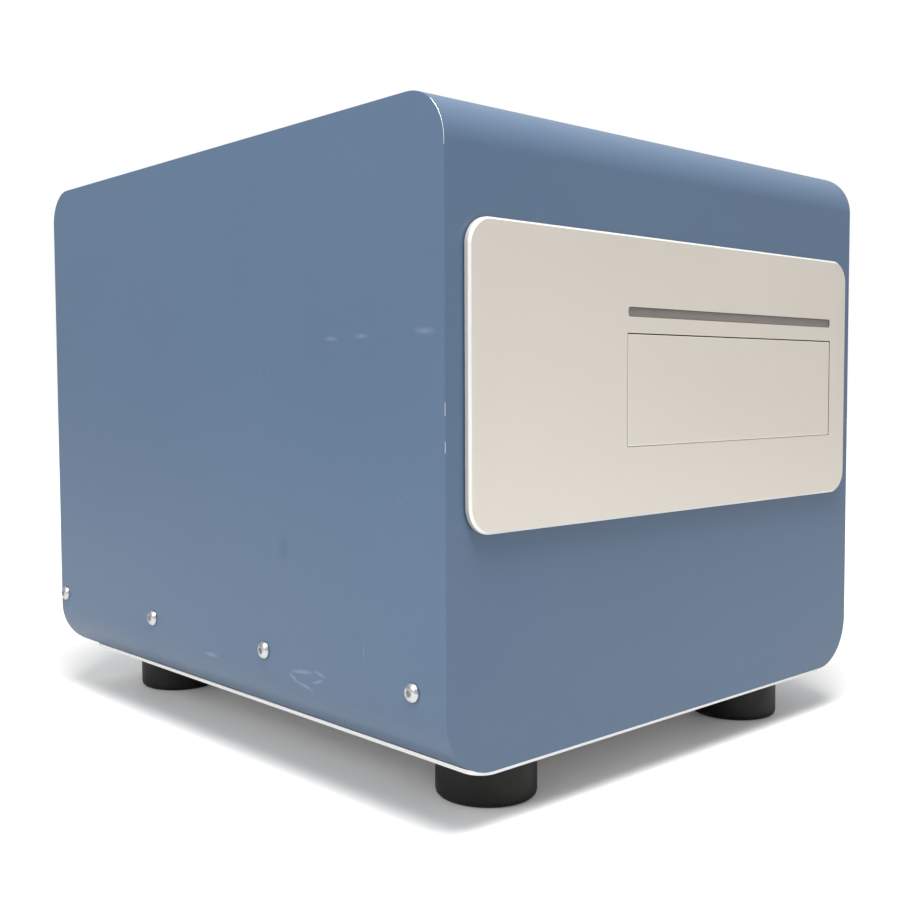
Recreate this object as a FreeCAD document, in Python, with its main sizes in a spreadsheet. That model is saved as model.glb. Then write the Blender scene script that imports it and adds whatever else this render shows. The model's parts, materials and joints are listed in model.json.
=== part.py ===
import FreeCAD, Part
import math
import os
import re
import Sketcher

# Bench-top automated cell counter: a bent sheet case on four rubber feet. A flap in its
# front plate opens for a plate tray, and a scanning microscope looks up through the tray.
# X is width, Y is depth with the front at -Y, Z is up. The origin is under the middle
# of the case, on the surface that the feet stand on. All sizes are in millimetres.

doc = FreeCAD.newDocument("cell_counter")

# Driving sizes
driving = {
    # sheet-metal case
    "case_width": 343, "case_depth": 380, "case_height": 303, "wall": 2,
    "front_bend": 24, "rear_bend": 20, "side_bend": 29, "edge_break": 0.6, "edge_round": 1,
    "sheet_gap": 0.1, "window_side": 12, "window_above": 7, "window_below": 16,
    "hood_lip": 50, "hood_lip_front": 20,
    "pan_thickness": 2, "pan_flange": 50, "base_thickness": 2, "base_side_inset": 21.5,
    "base_front_inset": 1.5, "base_corner": 10,
    # side screws and feet
    "side_screw_rise": 37, "side_screw_first": 22.2, "side_screw_last": 6.8,
    "side_screw_count": 4, "screw_hole_radius": 2.75, "screw_radius": 2.4,
    "head_radius": 4.6, "head_height": 2.6, "head_crown": 0.6, "head_sides": 12,
    "shank_sides": 8, "hole_sides": 12, "hex_flats": 3.2, "hex_depth": 1.5, "side_screw_length": 9,
    "foot_radius": 25.4, "foot_height": 25.4, "foot_flange_radius": 26.4,
    "foot_flange_height": 3, "foot_round": 2, "foot_inset": 63.3, "foot_from_front": 39,
    "foot_from_rear": 45, "foot_bore": 6, "foot_screw_seat": 12, "foot_recess": 9,
    "foot_screw_head": 7, "foot_screw_height": 4, "foot_screw_flats": 4,
    "foot_screw_proud": 4,
    # front plate, its windows and the flap
    "plate_side": 11, "plate_height": 139.5, "plate_thickness": 3.2, "plate_rise": 108.5,
    "plate_corner": 13, "plate_chamfer": 1.1, "gasket_thickness": 0.8, "gasket_inset": 3,
    "door_side": 18.5, "door_width": 194, "door_height": 56, "door_rise": 35.5,
    "door_gap": 0.6, "door_edge": 0.4, "hinge_back": 4.7, "hinge_up": 6,
    "swing_radius": 7.55, "sill_radius": 8, "pin_radius": 1.2, "running_gap": 0.05,
    "ear_radius": 3.4, "ear_width": 6, "ear_inset": 8, "lug_width": 4, "lug_gap": 0.5,
    "bracket_width": 9, "bracket_height": 26, "bracket_base": 3, "lug_reach": 5,
    "spring_coils": 4, "spring_wire": 1.2, "spring_inset": 22, "spring_leg": 12,
    "spring_outside": 2.6,
    "slot_short": 1.2, "slot_height": 4.8, "slot_above_door": 8, "pipe_recess": 0.6,
    "pipe_gap": 0.2, "pipe_flange": 2, "led_count": 8, "led_size": 3, "led_height": 1,
    "board_thickness": 1.6, "led_board_height": 10,
    # rear panel and what is in it
    "rear_recess": 2, "rear_flange": 14, "rear_corner": 3, "rear_stand": 6,
    "fan_size": 60, "fan_depth": 25, "fan_bore": 28.5, "fan_hole_pitch": 50, "fan_corner": 5,
    "fan_sides": 24, "hub_sides": 16, "fan_side_gap": 15.3, "fan_top_gap": 28.8, "fan_hub": 13,
    "fan_blade_tip": 26.5,
    "fan_blades": 7, "fan_blade_pitch": 35, "blade_thickness": 1.5, "strut_width": 5,
    "strut_depth": 4, "axle_radius": 2, "guard_wire": 2, "guard_rings": 3,
    "guard_ring_step": 9, "ring_sides": 24, "guard_eye": 4.5, "small_hole": 2.2,
    "small_screw_radius": 2, "small_screw_length": 9, "small_screw_head": 3.6, "small_screw_flats": 2.5,
    "fan_wall": 1.6, "fan_front_gap": 2, "blade_chord": 14,
    "vent_count": 10, "vent_pitch": 8, "vent_length": 70, "vent_width": 3.2,
    "vent_side_gap": 42.3, "vent_top_gap": 31.8,
    "inlet_side_gap": 55.3, "inlet_rise": 46, "inlet_width": 27.6, "inlet_height": 20,
    "inlet_flange": 50, "inlet_flange_height": 26, "inlet_flange_thick": 2.5,
    "inlet_depth": 22, "inlet_cavity": 17, "inlet_wall": 2, "contact_width": 4,
    "contact_height": 2, "contact_pitch": 7,
    "inlet_to_switch": 50, "switch_rise": 46, "switch_width": 13, "switch_height": 19,
    "switch_rim": 2, "switch_depth": 15, "rocker_tilt": 10,
    "rocker_back": 3, "rocker_face": 5.2, "rocker_half": 8.3, "usb_height": 11,
    "switch_to_usb": 30, "usb_rise": 46, "usb_size": 12, "usb_depth": 16, "usb_wall": 1,
    # stage deck, tray and its drive
    "post_length": 145.6, "post_radius": 6, "deck_thickness": 8, "deck_to_left": 125,
    "deck_to_right": 101, "deck_front_gap": 32, "deck_rear_gap": 20, "deck_corner": 8,
    "post_side_inset": 18, "post_right_inset": 11, "post_front_inset": 26, "post_rear_inset": 10,
    "eye_half_width": 62, "eye_half_depth": 50, "eye_web": 25, "rear_eye_inset": 40,
    "rail_width": 12, "rail_height": 8, "rail_groove": 1.5, "rail_groove_low": 3,
    "rail_groove_high": 6, "block_width": 24, "block_lift": 2.5, "block_gap": 0.3,
    "rail_front_inset": 5, "rail_rear_inset": 17, "y_rail_spread": 72, "y_block_length": 40,
    "tray_rise": 18, "tray_thickness": 8, "tray_width": 170,
    "tray_setback": 120, "travel_short": 140, "travel_margin": 3.7, "tray_corner": 4,
    "nest_width": 128.6, "nest_depth": 86.4, "nest_front": 12, "nest_sink": 4, "nest_ledge": 4,
    "tray_arm": 25, "tray_back_bar": 16, "clip_thickness": 0.8, "clip_length": 26,
    "clip_height": 3,
    "screw_to_left": 103, "y_screw_radius": 4, "journal_radius": 3, "nut_width": 20,
    "nut_length": 20, "nut_height": 14, "bearing_length": 10, "bearing_width": 22,
    "bearing_head": 9, "screw_front_inset": 6, "screw_rear_inset": 30,
    "coupler_radius": 9, "coupler_length": 20, "coupler_slit": 1.2,
    "motor_size": 42.3, "motor_length": 32, "motor_corner": 4, "motor_boss": 11,
    "motor_boss_height": 2, "motor_shaft": 2.5, "motor_bore": 12, "motor_inset": 17,
    "mount_thickness": 3, "mount_foot": 17,
    # light panel over the plate
    "lamp_rise": 55, "lamp_thickness": 8, "lamp_width": 140, "lamp_depth": 100,
    "bracket_depth": 50, "bracket_foot": 9,
    # scanning optics under the deck
    "base_to_left": 95, "base_to_right": 97, "base_depth": 110,
    "optics_base_thick": 8, "x_rail_spread": 36, "rail_end_gap": 3,
    "x_block_length": 30, "carriage_rise": 13, "carriage_thickness": 8,
    "carriage_width": 84, "carriage_depth": 104, "scan_reach": 45,
    "x_block_spread": 25, "x_screw_rise": 7, "x_screw_radius": 3, "x_nut_width": 14,
    "x_nut_length": 16, "x_nut_height": 11,
    "x_bearing_length": 8, "x_motor_size": 28, "x_motor_length": 32,
    "camera_size": 40, "camera_height": 38, "lens_radius": 14, "lens_height": 8,
    "camera_edge": 3, "wheel_radius": 35.5, "wheel_thickness": 5, "wheel_offset": 26,
    "wheel_lift": 4, "wheel_post_radius": 5.4,
    "wheel_sides": 48, "filter_radius": 7, "filter_sides": 20, "filter_count": 4,
    "filter_thickness": 3, "wheel_axle": 4, "barrel_sides": 24,
    "cube_size": 26, "cube_lift": 3, "cube_port": 8, "cube_arm": 14, "lamp_fin_size": 22,
    "lamp_core": 9, "core_sides": 16, "lamp_length": 30, "lamp_fins": 5, "fin_pitch": 5,
    "fin_thickness": 2,
    "column_width": 40, "column_thickness": 8, "column_height": 112, "column_back": 37,
    "slide_height": 20, "slide_width": 30, "slide_ring": 17, "slide_rise": 90,
    "key_width": 12, "key_depth": 4, "key_rise": 70, "objective_radius": 12,
    "objective_collar": 14, "objective_length": 38, "objective_taper": 8,
    # electronics
    "board_side_gap": 30.5, "board_motor_gap": 6, "board_front_gap": 25, "board_length": 160,
    "chip_count": 3, "socket_count": 5, "capacitor_count": 3,
    "standoff_height": 6, "standoff_radius": 3, "standoff_inset": 5, "chip_size": 18,
    "chip_height": 2.5, "socket_height": 9, "socket_width": 12, "capacitor_radius": 5,
    "capacitor_height": 14,
    "supply_post_gap": 13, "supply_front_gap": 17, "supply_rear_gap": 60, "supply_height": 38,
    "supply_slots": 7, "supply_slot_width": 3, "supply_slot_side": 12, "supply_slot_margin": 2,
    "terminal_height": 14, "terminal_depth": 10,
}

# Places worked out from the driving sizes
derived = {
    "hood_z": "foot_height + base_thickness",
    "front_y": "-case_depth / 2",
    "back_y": "case_depth / 2",
    "pan_z": "hood_z + wall",
    "inside_z": "pan_z + pan_thickness",
    "inner_half": "case_width / 2 - wall",
    "pan_half": "inner_half - sheet_gap",
    "rear_half": "pan_half - pan_thickness - sheet_gap",
    "rear_z": "inside_z + sheet_gap",
    "rear_top": "hood_z + case_height - rear_bend - 2 * sheet_gap",
    "side_screw_pitch": "(case_depth - side_screw_first - side_screw_last) / (side_screw_count - 1)",
    "foot_side": "case_width / 2 - foot_inset",
    "plate_width": "case_width - 2 * plate_side",
    "door_offset": "plate_width / 2 - door_side - door_width / 2",
    "slot_width": "door_width - slot_short",
    "pin_half": "door_width / 2 + lug_gap + lug_width",
    "rear_face_y": "back_y - rear_recess",
    "rear_inner_y": "rear_face_y - wall",
    "plate_back_y": "front_y - gasket_thickness",
    "face_y": "plate_back_y - plate_thickness",
    "plate_z": "hood_z + plate_rise",
    "door_z": "plate_z + door_rise",
    "hinge_y": "face_y + hinge_back",
    "hinge_z": "door_z + hinge_up",
    "flap_half": "door_width / 2 - door_gap",
    "flap_back": "-hinge_back + plate_thickness",
    "slot_z": "door_z + door_height + slot_above_door",
    "window_low": "door_z - window_below",
    "window_high": "slot_z + slot_height + window_above",
    "window_left": "door_offset - door_width / 2 - window_side",
    "window_right": "door_offset + door_width / 2 + window_side",
    "first_screw_y": "front_y + side_screw_first",
    "side_screw_z": "hood_z + side_screw_rise",
    "foot_front_y": "front_y + foot_from_front",
    "foot_rear_y": "back_y - foot_from_rear",
    "fan_left": "rear_half - wall - fan_side_gap - fan_size / 2",
    "fan_z": "rear_top - fan_top_gap - fan_size / 2",
    "vent_x": "rear_half - vent_side_gap - vent_length / 2",
    "vent_z": "rear_top - vent_top_gap - (vent_count - 1) * vent_pitch",
    "inlet_x": "inlet_side_gap - rear_half",
    "switch_x": "inlet_x + inlet_to_switch",
    "usb_x": "switch_x + switch_to_usb",
    "deck_left": "door_offset - deck_to_left",
    "deck_right": "door_offset + deck_to_right",
    "deck_front": "front_y + deck_front_gap",
    "deck_rear": "back_y - deck_rear_gap",
    "post_left": "deck_left + post_side_inset",
    "post_right": "deck_right - post_right_inset",
    "post_front": "deck_front + post_front_inset",
    "post_rear": "deck_rear - post_rear_inset",
    "y_rail_front": "deck_front + rail_front_inset",
    "y_rail_length": "deck_rear - rail_rear_inset - y_rail_front",
    "deck_z": "inside_z + post_length",
    "deck_top": "deck_z + deck_thickness",
    "tray_z": "deck_top + tray_rise",
    "tray_front": "hinge_y + tray_setback",
    "tray_travel": "case_depth - travel_short",
    "tray_rear": "y_rail_front + travel_margin + y_block_length + tray_corner + tray_travel",
    "tray_length": "tray_rear - tray_front",
    "optics_y": "tray_front + nest_front + nest_depth / 2",
    "eye_front": "optics_y - eye_half_depth",
    "eye_rear": "optics_y + eye_half_depth",
    "screw_x": "door_offset - screw_to_left",
    "y_screw_front": "deck_front + screw_front_inset",
    "y_screw_rear": "deck_rear - screw_rear_inset",
    "motor_face": "deck_rear - motor_inset",
    "screw_z": "tray_z + tray_thickness / 2",
    "nut_y": "tray_rear - nut_length",
    "lamp_z": "deck_top + lamp_rise",
    "optics_top": "inside_z + optics_base_thick",
    "base_left": "door_offset - base_to_left",
    "base_right": "door_offset + base_to_right",
    "x_rail_length": "carriage_width + 2 * (scan_reach + rail_end_gap)",
    "carriage_z": "optics_top + carriage_rise",
    "carriage_top": "carriage_z + carriage_thickness",
    "x_screw_z": "optics_top + x_screw_rise",
    "camera_top": "carriage_top + camera_height",
    "wheel_z": "camera_top + lens_height + wheel_lift",
    "cube_z": "wheel_z + wheel_thickness + cube_lift",
    "column_y": "optics_y + column_back",
    "slide_z": "carriage_top + slide_rise",
    "x_motor_left": "base_left - mount_thickness - x_motor_length",
    "board_left": "board_side_gap - case_width / 2",
    "board_width": "x_motor_left - board_motor_gap - board_left",
    "board_front": "front_y + board_front_gap",
    "supply_width": "post_left - post_radius - supply_post_gap - board_left",
    "supply_front": "board_front + board_length + supply_front_gap",
    "supply_length": "back_y - supply_rear_gap - supply_front",
    "supply_slot_pitch": "supply_length / (supply_slots - 1 + 2 * supply_slot_margin)",
}

home = {}


def write_sheet(name, cells, prefix):
    sheet = doc.addObject("Spreadsheet::Sheet", name)
    for row, (alias, value) in enumerate(cells.items(), start=1):
        sheet.set("A%d" % row, alias)
        sheet.set("B%d" % row, prefix + qualified(value))
        sheet.setAlias("B%d" % row, alias)
        home[alias] = name
    return sheet


def qualified(text):
    """Put the sheet's name before each alias in a formula."""
    def full_name(match):
        word = match.group()
        return home[word] + "." + word if word in home else word
    return re.sub(r"[a-z][a-z0-9_]*", full_name, str(text))


sizes = write_sheet("Sizes", driving, "")
places = write_sheet("Places", derived, "=")
doc.recompute()

# Drawing helpers
X_AXIS = FreeCAD.Vector(1, 0, 0)
Y_AXIS = FreeCAD.Vector(0, 1, 0)
Z_AXIS = FreeCAD.Vector(0, 0, 1)
TOUCH = 0.01
FULL_TURN = 360
sub_parts = []


def bind(thing, prop, formula):
    thing.setExpression(prop, qualified(formula))


def place(thing, x="0", y="0", z="0", turn=None):
    if turn is not None:
        thing.Placement = FreeCAD.Placement(FreeCAD.Vector(), turn)
    bind(thing, "Placement.Base.x", x)
    bind(thing, "Placement.Base.y", y)
    bind(thing, "Placement.Base.z", z)
    return thing


def keep(thing, label):
    """Name a finished sub-part, so that it is checked and written out."""
    thing.Label = label
    sub_parts.append(thing)
    return thing


def new_body(name, x="0", y="0", z="0"):
    body = doc.addObject("PartDesign::Body", name)
    return place(body, x, y, z)


def fix_point(sketch, geometry, point, x, y):
    for kind, formula in (("DistanceX", x), ("DistanceY", y)):
        number = sketch.addConstraint(Sketcher.Constraint(kind, geometry, point, 1.0))
        bind(sketch, "Constraints[%d]" % number, formula)


def outline(*corners):
    """A closed outline of straight lines, with each corner fixed by two formulas."""
    def draw(sketch):
        count = len(corners)
        first = sketch.GeometryCount
        rough = [FreeCAD.Vector(math.cos(math.tau * i / count), math.sin(math.tau * i / count), 0)
                 for i in range(count)]
        for i in range(count):
            sketch.addGeometry(Part.LineSegment(rough[i], rough[(i + 1) % count]), False)
        for i in range(count):
            follower = first + (i + 1) % count
            sketch.addConstraint(Sketcher.Constraint("Coincident", first + i, 2, follower, 1))
        for i, (x, y) in enumerate(corners):
            fix_point(sketch, first + i, 1, x, y)
    return draw


def rectangle(left, low, right, high):
    return outline((left, low), (right, low), (right, high), (left, high))


def centred(x, y, width, height):
    left, right = f"{x} - ({width}) / 2", f"{x} + ({width}) / 2"
    low, high = f"{y} - ({height}) / 2", f"{y} + ({height}) / 2"
    return rectangle(left, low, right, high)


def disc(x, y, radius):
    def draw(sketch):
        number = sketch.addGeometry(Part.Circle(FreeCAD.Vector(), Z_AXIS, 1.0), False)
        fix_point(sketch, number, 3, x, y)
        constraint = sketch.addConstraint(Sketcher.Constraint("Radius", number, 1.0))
        bind(sketch, "Constraints[%d]" % constraint, radius)
    return draw


def polygon(x, y, reach, sides):
    """A regular outline, its corners that far from the middle."""
    corners = []
    for i in range(sides):
        angle = FULL_TURN * (i + 0.5) / sides
        corners.append((f"{x} + ({reach}) * cos({angle} deg)", f"{y} + ({reach}) * sin({angle} deg)"))
    return outline(*corners)


def hexagon(x, y, flats):
    return polygon(x, y, f"({flats}) / 2 / cos(30 deg)", 6)


def drawn(body, name, plane, loops, lift):
    sketch = body.newObject("Sketcher::SketchObject", name)
    base = next(item for item in body.Origin.OriginFeatures if item.Role == plane + "_Plane")
    sketch.AttachmentSupport = [(base, "")]
    sketch.MapMode = "FlatFace"
    bind(sketch, "AttachmentOffset.Base.z", lift)
    for draw in loops:
        draw(sketch)
    return sketch


def tip_volume(body):
    return body.Shape.Volume if body.Tip else 0


def add(body, name, plane, loops, length, lift="0", **settings):
    """Pad the loops. On the XZ plane a pad grows to the front, towards -Y."""
    before = tip_volume(body)
    feature = body.newObject("PartDesign::Pad", name)
    feature.Profile = drawn(body, name + "_sketch", plane, loops, lift)
    bind(feature, "Length", length)
    for prop, value in settings.items():
        setattr(feature, prop, value)
    doc.recompute()
    if feature.Shape.Volume <= before:
        raise RuntimeError(name + " adds nothing")
    return feature


def cut(body, name, plane, loops, depth=None, lift="0", **settings):
    """Pocket the loops, right through when no depth is given. On the XZ plane it goes back."""
    before = tip_volume(body)
    feature = body.newObject("PartDesign::Pocket", name)
    feature.Profile = drawn(body, name + "_sketch", plane, loops, lift)
    if depth is None:
        feature.Type = "ThroughAll"
        feature.Midplane = True
    else:
        bind(feature, "Length", depth)
    for prop, value in settings.items():
        setattr(feature, prop, value)
    doc.recompute()
    if feature.Shape.Volume >= before:
        raise RuntimeError(name + " cuts nothing")
    return feature


def turned(body, name, loop):
    """Turn a loop on the XZ plane about the body's upright axis."""
    feature = body.newObject("PartDesign::Revolution", name)
    sketch = drawn(body, name + "_sketch", "XZ", [loop], "0")
    feature.Profile = sketch
    feature.ReferenceAxis = (sketch, ["V_Axis"])
    feature.Angle = FULL_TURN
    doc.recompute()
    return feature


def polar(body, feature, count, axis):
    """Repeat a feature about one of the body's own axes."""
    pattern = body.newObject("PartDesign::PolarPattern", feature.Name + "_round")
    pattern.Originals = [feature]
    pattern.Axis = (next(o for o in body.Origin.OriginFeatures if o.Role == axis + "_Axis"), [""])
    pattern.Angle = FULL_TURN
    bind(pattern, "Occurrences", count)
    body.Tip = pattern
    doc.recompute()
    return pattern


def edge_names(feature, test):
    box = feature.Shape.BoundBox
    return ["Edge%d" % (i + 1) for i, edge in enumerate(feature.Shape.Edges) if test(edge, box)]


def dress(body, kind, name, size, test):
    """Fillet or chamfer the edges of the tip that pass the test."""
    base = body.Tip
    feature = body.newObject("PartDesign::" + kind, name)
    feature.Base = (base, edge_names(base, test))
    bind(feature, "Radius" if kind == "Fillet" else "Size", size)
    doc.recompute()
    return feature


def near(a, b):
    return abs(a - b) < TOUCH


def is_straight(edge, axis):
    return edge.Curve.TypeId == "Part::GeomLine" and near(abs(edge.Curve.Direction.dot(axis)), 1)


def along_x(edge, box):
    return is_straight(edge, X_AXIS)


def along_y(edge, box):
    return is_straight(edge, Y_AXIS)


def along_z(edge, box):
    return is_straight(edge, Z_AXIS)


def in_front(edge, box):
    return near(edge.BoundBox.YMin, box.YMin) and near(edge.BoundBox.YMax, box.YMin)


def on_top(edge, box):
    return near(edge.BoundBox.ZMin, box.ZMax) and near(edge.BoundBox.ZMax, box.ZMax)


def underneath(edge, box):
    return near(edge.BoundBox.ZMin, box.ZMin) and near(edge.BoundBox.ZMax, box.ZMin)


def at_rear(edge, box):
    return near(edge.BoundBox.YMin, box.YMax) and near(edge.BoundBox.YMax, box.YMax)


def on_side(edge, box):
    left = near(edge.BoundBox.XMin, box.XMin) and near(edge.BoundBox.XMax, box.XMin)
    right = near(edge.BoundBox.XMin, box.XMax) and near(edge.BoundBox.XMax, box.XMax)
    return left or right


def copies(label, master, spots):
    """One sub-part of several equal solids, each a link to the master at its own spot."""
    links = []
    for i, spot in enumerate(spots):
        link = doc.addObject("App::Link", "%s_%d" % (label, i + 1))
        link.LinkedObject = master
        turn = spot[3] if len(spot) > 3 else None
        links.append(place(link, *spot[:3], turn=turn))
    group = doc.addObject("Part::Compound", label)
    group.Links = links
    return keep(group, label)


def block(name, x, y, z, width, depth, height):
    """A box by its middle in X and Y and its underside."""
    box = doc.addObject("Part::Box", name)
    bind(box, "Length", width)
    bind(box, "Width", depth)
    bind(box, "Height", height)
    return place(box, f"{x} - ({width}) / 2", f"{y} - ({depth}) / 2", z)


TO_X = FreeCAD.Rotation(Y_AXIS, 90)
TO_Y = FreeCAD.Rotation(X_AXIS, -90)


def rod(name, x, y, z, radius, length, turn=None):
    cylinder = doc.addObject("Part::Cylinder", name)
    bind(cylinder, "Radius", radius)
    bind(cylinder, "Height", length)
    return place(cylinder, x, y, z, turn)


def fused(label, shapes):
    whole = doc.addObject("Part::MultiFuse", label)
    whole.Shapes = shapes
    return whole


def less(label, base, tools):
    whole = doc.addObject("Part::Cut", label)
    whole.Base = base
    whole.Tool = tools[0] if len(tools) == 1 else fused(label + "_tools", tools)
    return whole


def hollow(body, tool):
    """Cut another body's form out of this one."""
    feature = body.newObject("PartDesign::Boolean", body.Name + "_hollow")
    feature.Type = "Cut"
    feature.setObjects([tool])
    doc.recompute()
    return feature


# Hood: one sheet bent over the top, with a soft bend to the front, to the rear and under
# both sides. The rear is open and the front has a window behind the plate.
def bent_block(name, half_width, low, high, rear, front, bends):
    """A block that stands behind the case's origin, with the bends that the sheet has."""
    body = new_body(name)
    depth = f"({rear}) - ({front})"
    add(body, name + "_block", "XZ", [rectangle(f"-({half_width})", low, half_width, high)], depth,
        lift=f"-({rear})")
    for end, bend, test in bends:
        dress(body, "Fillet", name + "_" + end, bend, test)
    return body


def front_top(edge, box):
    return along_x(edge, box) and in_front(edge, box) and on_top(edge, box)


def rear_top(edge, box):
    return along_x(edge, box) and at_rear(edge, box) and on_top(edge, box)


def crisp_edge(edge, box):
    """Where the front and the sides meet their neighbours, but not where a bend runs out."""
    front = in_front(edge, box) and (not along_x(edge, box) or underneath(edge, box))
    side = on_side(edge, box) and (not along_y(edge, box) or on_top(edge, box))
    return (front or side) and not at_rear(edge, box)


HALVES = ("-", "")


def lower_corner(edge, box):
    return along_y(edge, box) and underneath(edge, box)


def upper_corner(edge, box):
    return along_y(edge, box) and on_top(edge, box)


def outer_corner(edge, box):
    return along_y(edge, box) and on_side(edge, box)


hood = bent_block(
    "hood", "case_width / 2", "hood_z", "hood_z + case_height", "back_y", "front_y",
    [("front_bend", "front_bend", front_top), ("rear_bend", "rear_bend", rear_top),
     ("side_bends", "side_bend", lower_corner)])
dress(hood, "Chamfer", "hood_edges", "edge_break", crisp_edge)
hood_space = bent_block(
    "hood_space", "inner_half", "hood_z + wall", "hood_z + case_height - wall", "back_y - wall",
    "front_y + wall",
    [("front_bend", "front_bend - wall", front_top), ("rear_bend", "rear_bend - wall", rear_top),
     ("side_bends", "side_bend - wall", lower_corner)])
hood_mouth = bent_block(
    "hood_mouth", "inner_half", "hood_z + wall", "hood_z + case_height - rear_bend",
    "back_y + wall", "back_y - 2 * wall", [("side_bends", "side_bend - wall", lower_corner)])
hollow(hood, hood_space)
hollow(hood, hood_mouth)
cut(hood, "hood_window", "XZ",
    [rectangle("window_left", "window_low", "window_right", "window_high")],
    "2 * wall", lift="-front_y + wall / 2")
cut(hood, "hood_underside", "XY",
    [rectangle("-(case_width / 2 - side_bend - hood_lip)", "front_y + hood_lip_front",
               "case_width / 2 - side_bend - hood_lip", "back_y + wall")],
    "2 * wall", lift="hood_z + 1.5 * wall")
HOLE_SIDES = driving["hole_sides"]
side_screw_rows = [f"first_screw_y + {i} * side_screw_pitch" for i in range(driving["side_screw_count"])]
foot_places = [(f"{side}foot_side", row) for side in HALVES for row in ("foot_front_y", "foot_rear_y")]


def cut_side_holes(body, name):
    cut(body, name, "YZ", [polygon(row, "side_screw_z", "screw_hole_radius", HOLE_SIDES)
                           for row in side_screw_rows])


def cut_foot_holes(body, name):
    cut(body, name, "XY", [polygon(x, y, "screw_hole_radius", HOLE_SIDES) for x, y in foot_places],
        "4 * wall", lift="hood_z + 3 * wall")


cut_side_holes(hood, "hood_side_holes")
cut_foot_holes(hood, "hood_foot_holes")
keep(hood, "hood")

# Base plate: bare aluminium under the hood's turned-in lips
base_plate = new_body("base_plate")
add(base_plate, "base_sheet", "XY",
    [rectangle("-(case_width / 2 - base_side_inset)", "front_y + base_front_inset",
               "case_width / 2 - base_side_inset", "back_y - base_front_inset")],
    "base_thickness", lift="foot_height")
dress(base_plate, "Fillet", "base_corners", "base_corner", along_z)
cut_foot_holes(base_plate, "base_foot_holes")
keep(base_plate, "base_plate")

# Chassis pan: a floor whose flanges stand inside the hood's sides and take its screws
chassis_pan = bent_block(
    "chassis_pan", "pan_half", "pan_z", "pan_z + pan_flange", "rear_face_y",
    "front_y + wall + sheet_gap", [("bends", "side_bend - wall", lower_corner)])
pan_space = bent_block(
    "pan_space", "pan_half - pan_thickness", "pan_z + pan_thickness", "pan_z + 2 * pan_flange",
    "back_y", "front_y", [("bends", "side_bend - wall - pan_thickness", lower_corner)])
hollow(chassis_pan, pan_space)
cut_side_holes(chassis_pan, "pan_side_holes")
cut_foot_holes(chassis_pan, "pan_foot_holes")
keep(chassis_pan, "chassis_pan")

# Rear panel: a shallow tray, its flanges turned forwards inside the pan's
rear_panel = bent_block(
    "rear_panel", "rear_half", "rear_z", "rear_top", "rear_face_y", "rear_face_y - rear_flange",
    [("low_corners", "side_bend - wall - pan_thickness - sheet_gap", lower_corner),
     ("top_corners", "rear_corner", upper_corner)])
rear_space = bent_block(
    "rear_space", "rear_half - wall", "rear_z + wall", "rear_top - wall", "rear_inner_y",
    "rear_inner_y - 2 * rear_flange",
    [("low_corners", "side_bend - 2 * wall - pan_thickness - sheet_gap", lower_corner)])
hollow(rear_panel, rear_space)
cut_side_holes(rear_panel, "rear_side_holes")
FAN_CORNERS = [(f"{a}fan_hole_pitch / 2", f"{b}fan_hole_pitch / 2") for a in HALVES for b in HALVES]
fan_screw_holes = [polygon(x, z, "small_hole", HOLE_SIDES) for x, z in FAN_CORNERS]
rear_cuts = [disc("-fan_left", "fan_z", "fan_bore"),
             centred("inlet_x", "inside_z + inlet_rise", "inlet_width", "inlet_height"),
             centred("switch_x", "inside_z + switch_rise", "switch_width + 2 * inlet_wall",
                     "switch_height + 2 * inlet_wall"),
             centred("usb_x", "inside_z + usb_rise", "usb_size", "usb_size")]
rear_cuts += [polygon(f"-fan_left + {x}", f"fan_z + {z}", "small_hole", HOLE_SIDES) for x, z in FAN_CORNERS]
rear_cuts += [centred("vent_x", f"vent_z + {i} * vent_pitch", "vent_length", "vent_width")
              for i in range(driving["vent_count"])]
cut(rear_panel, "rear_cut_outs", "XZ", rear_cuts, "3 * wall", lift="-(rear_inner_y - wall)")
keep(rear_panel, "rear_panel")


# Fasteners: one screw of each kind, repeated where it is used, its round forms many-sided
def cap_screw(name, radius, length, head, height, flats, depth):
    body = new_body(name)
    add(body, name + "_shank", "XY", [polygon("0", "0", radius, driving["shank_sides"])], length,
        lift=f"-({length})")
    add(body, name + "_head", "XY", [polygon("0", "0", head, driving["head_sides"])], height)
    dress(body, "Chamfer", name + "_crown", f"{height} * head_crown", on_top)
    cut(body, name + "_hex", "XY", [hexagon("0", "0", flats)], depth, lift=height)
    return body


hood_screw = cap_screw("hood_screw", "screw_radius", "side_screw_length", "head_radius",
                       "head_height", "hex_flats", "hex_depth")
TO_LEFT = FreeCAD.Rotation(Y_AXIS, -90)
copies("hood_screws", hood_screw,
       [(f"{side}case_width / 2", row, "side_screw_z", turn)
        for side, turn in (("-", TO_LEFT), ("", TO_X)) for row in side_screw_rows])

# Feet: moulded rubber with a recess for the screw that clamps base, hood lip and pan
foot = new_body("foot")
turned(foot, "foot_turned",
       outline(("0", "0"), ("foot_radius", "0"), ("foot_radius", "foot_height - foot_flange_height"),
               ("foot_flange_radius", "foot_height - foot_flange_height"),
               ("foot_flange_radius", "foot_height"), ("0", "foot_height")))
dress(foot, "Chamfer", "foot_lower_edge", "foot_round",
      lambda edge, box: underneath(edge, box) and edge.BoundBox.XLength > box.XLength / 2)
cut(foot, "foot_recess_space", "XY", [polygon("0", "0", "foot_recess", driving["barrel_sides"])],
    "foot_screw_seat", lift="foot_screw_seat")
cut(foot, "foot_screw_hole", "XY", [polygon("0", "0", "foot_bore / 2", HOLE_SIDES)])
copies("feet", foot, [(x, y, "0") for x, y in foot_places])
foot_screw = cap_screw("foot_screw", "screw_radius", "inside_z - foot_screw_seat + foot_screw_proud",
                        "foot_screw_head", "foot_screw_height", "foot_screw_flats", "hex_depth")
DOWN = FreeCAD.Rotation(X_AXIS, 180)
copies("foot_screws", foot_screw, [(x, y, "foot_screw_seat", DOWN) for x, y in foot_places])

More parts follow.
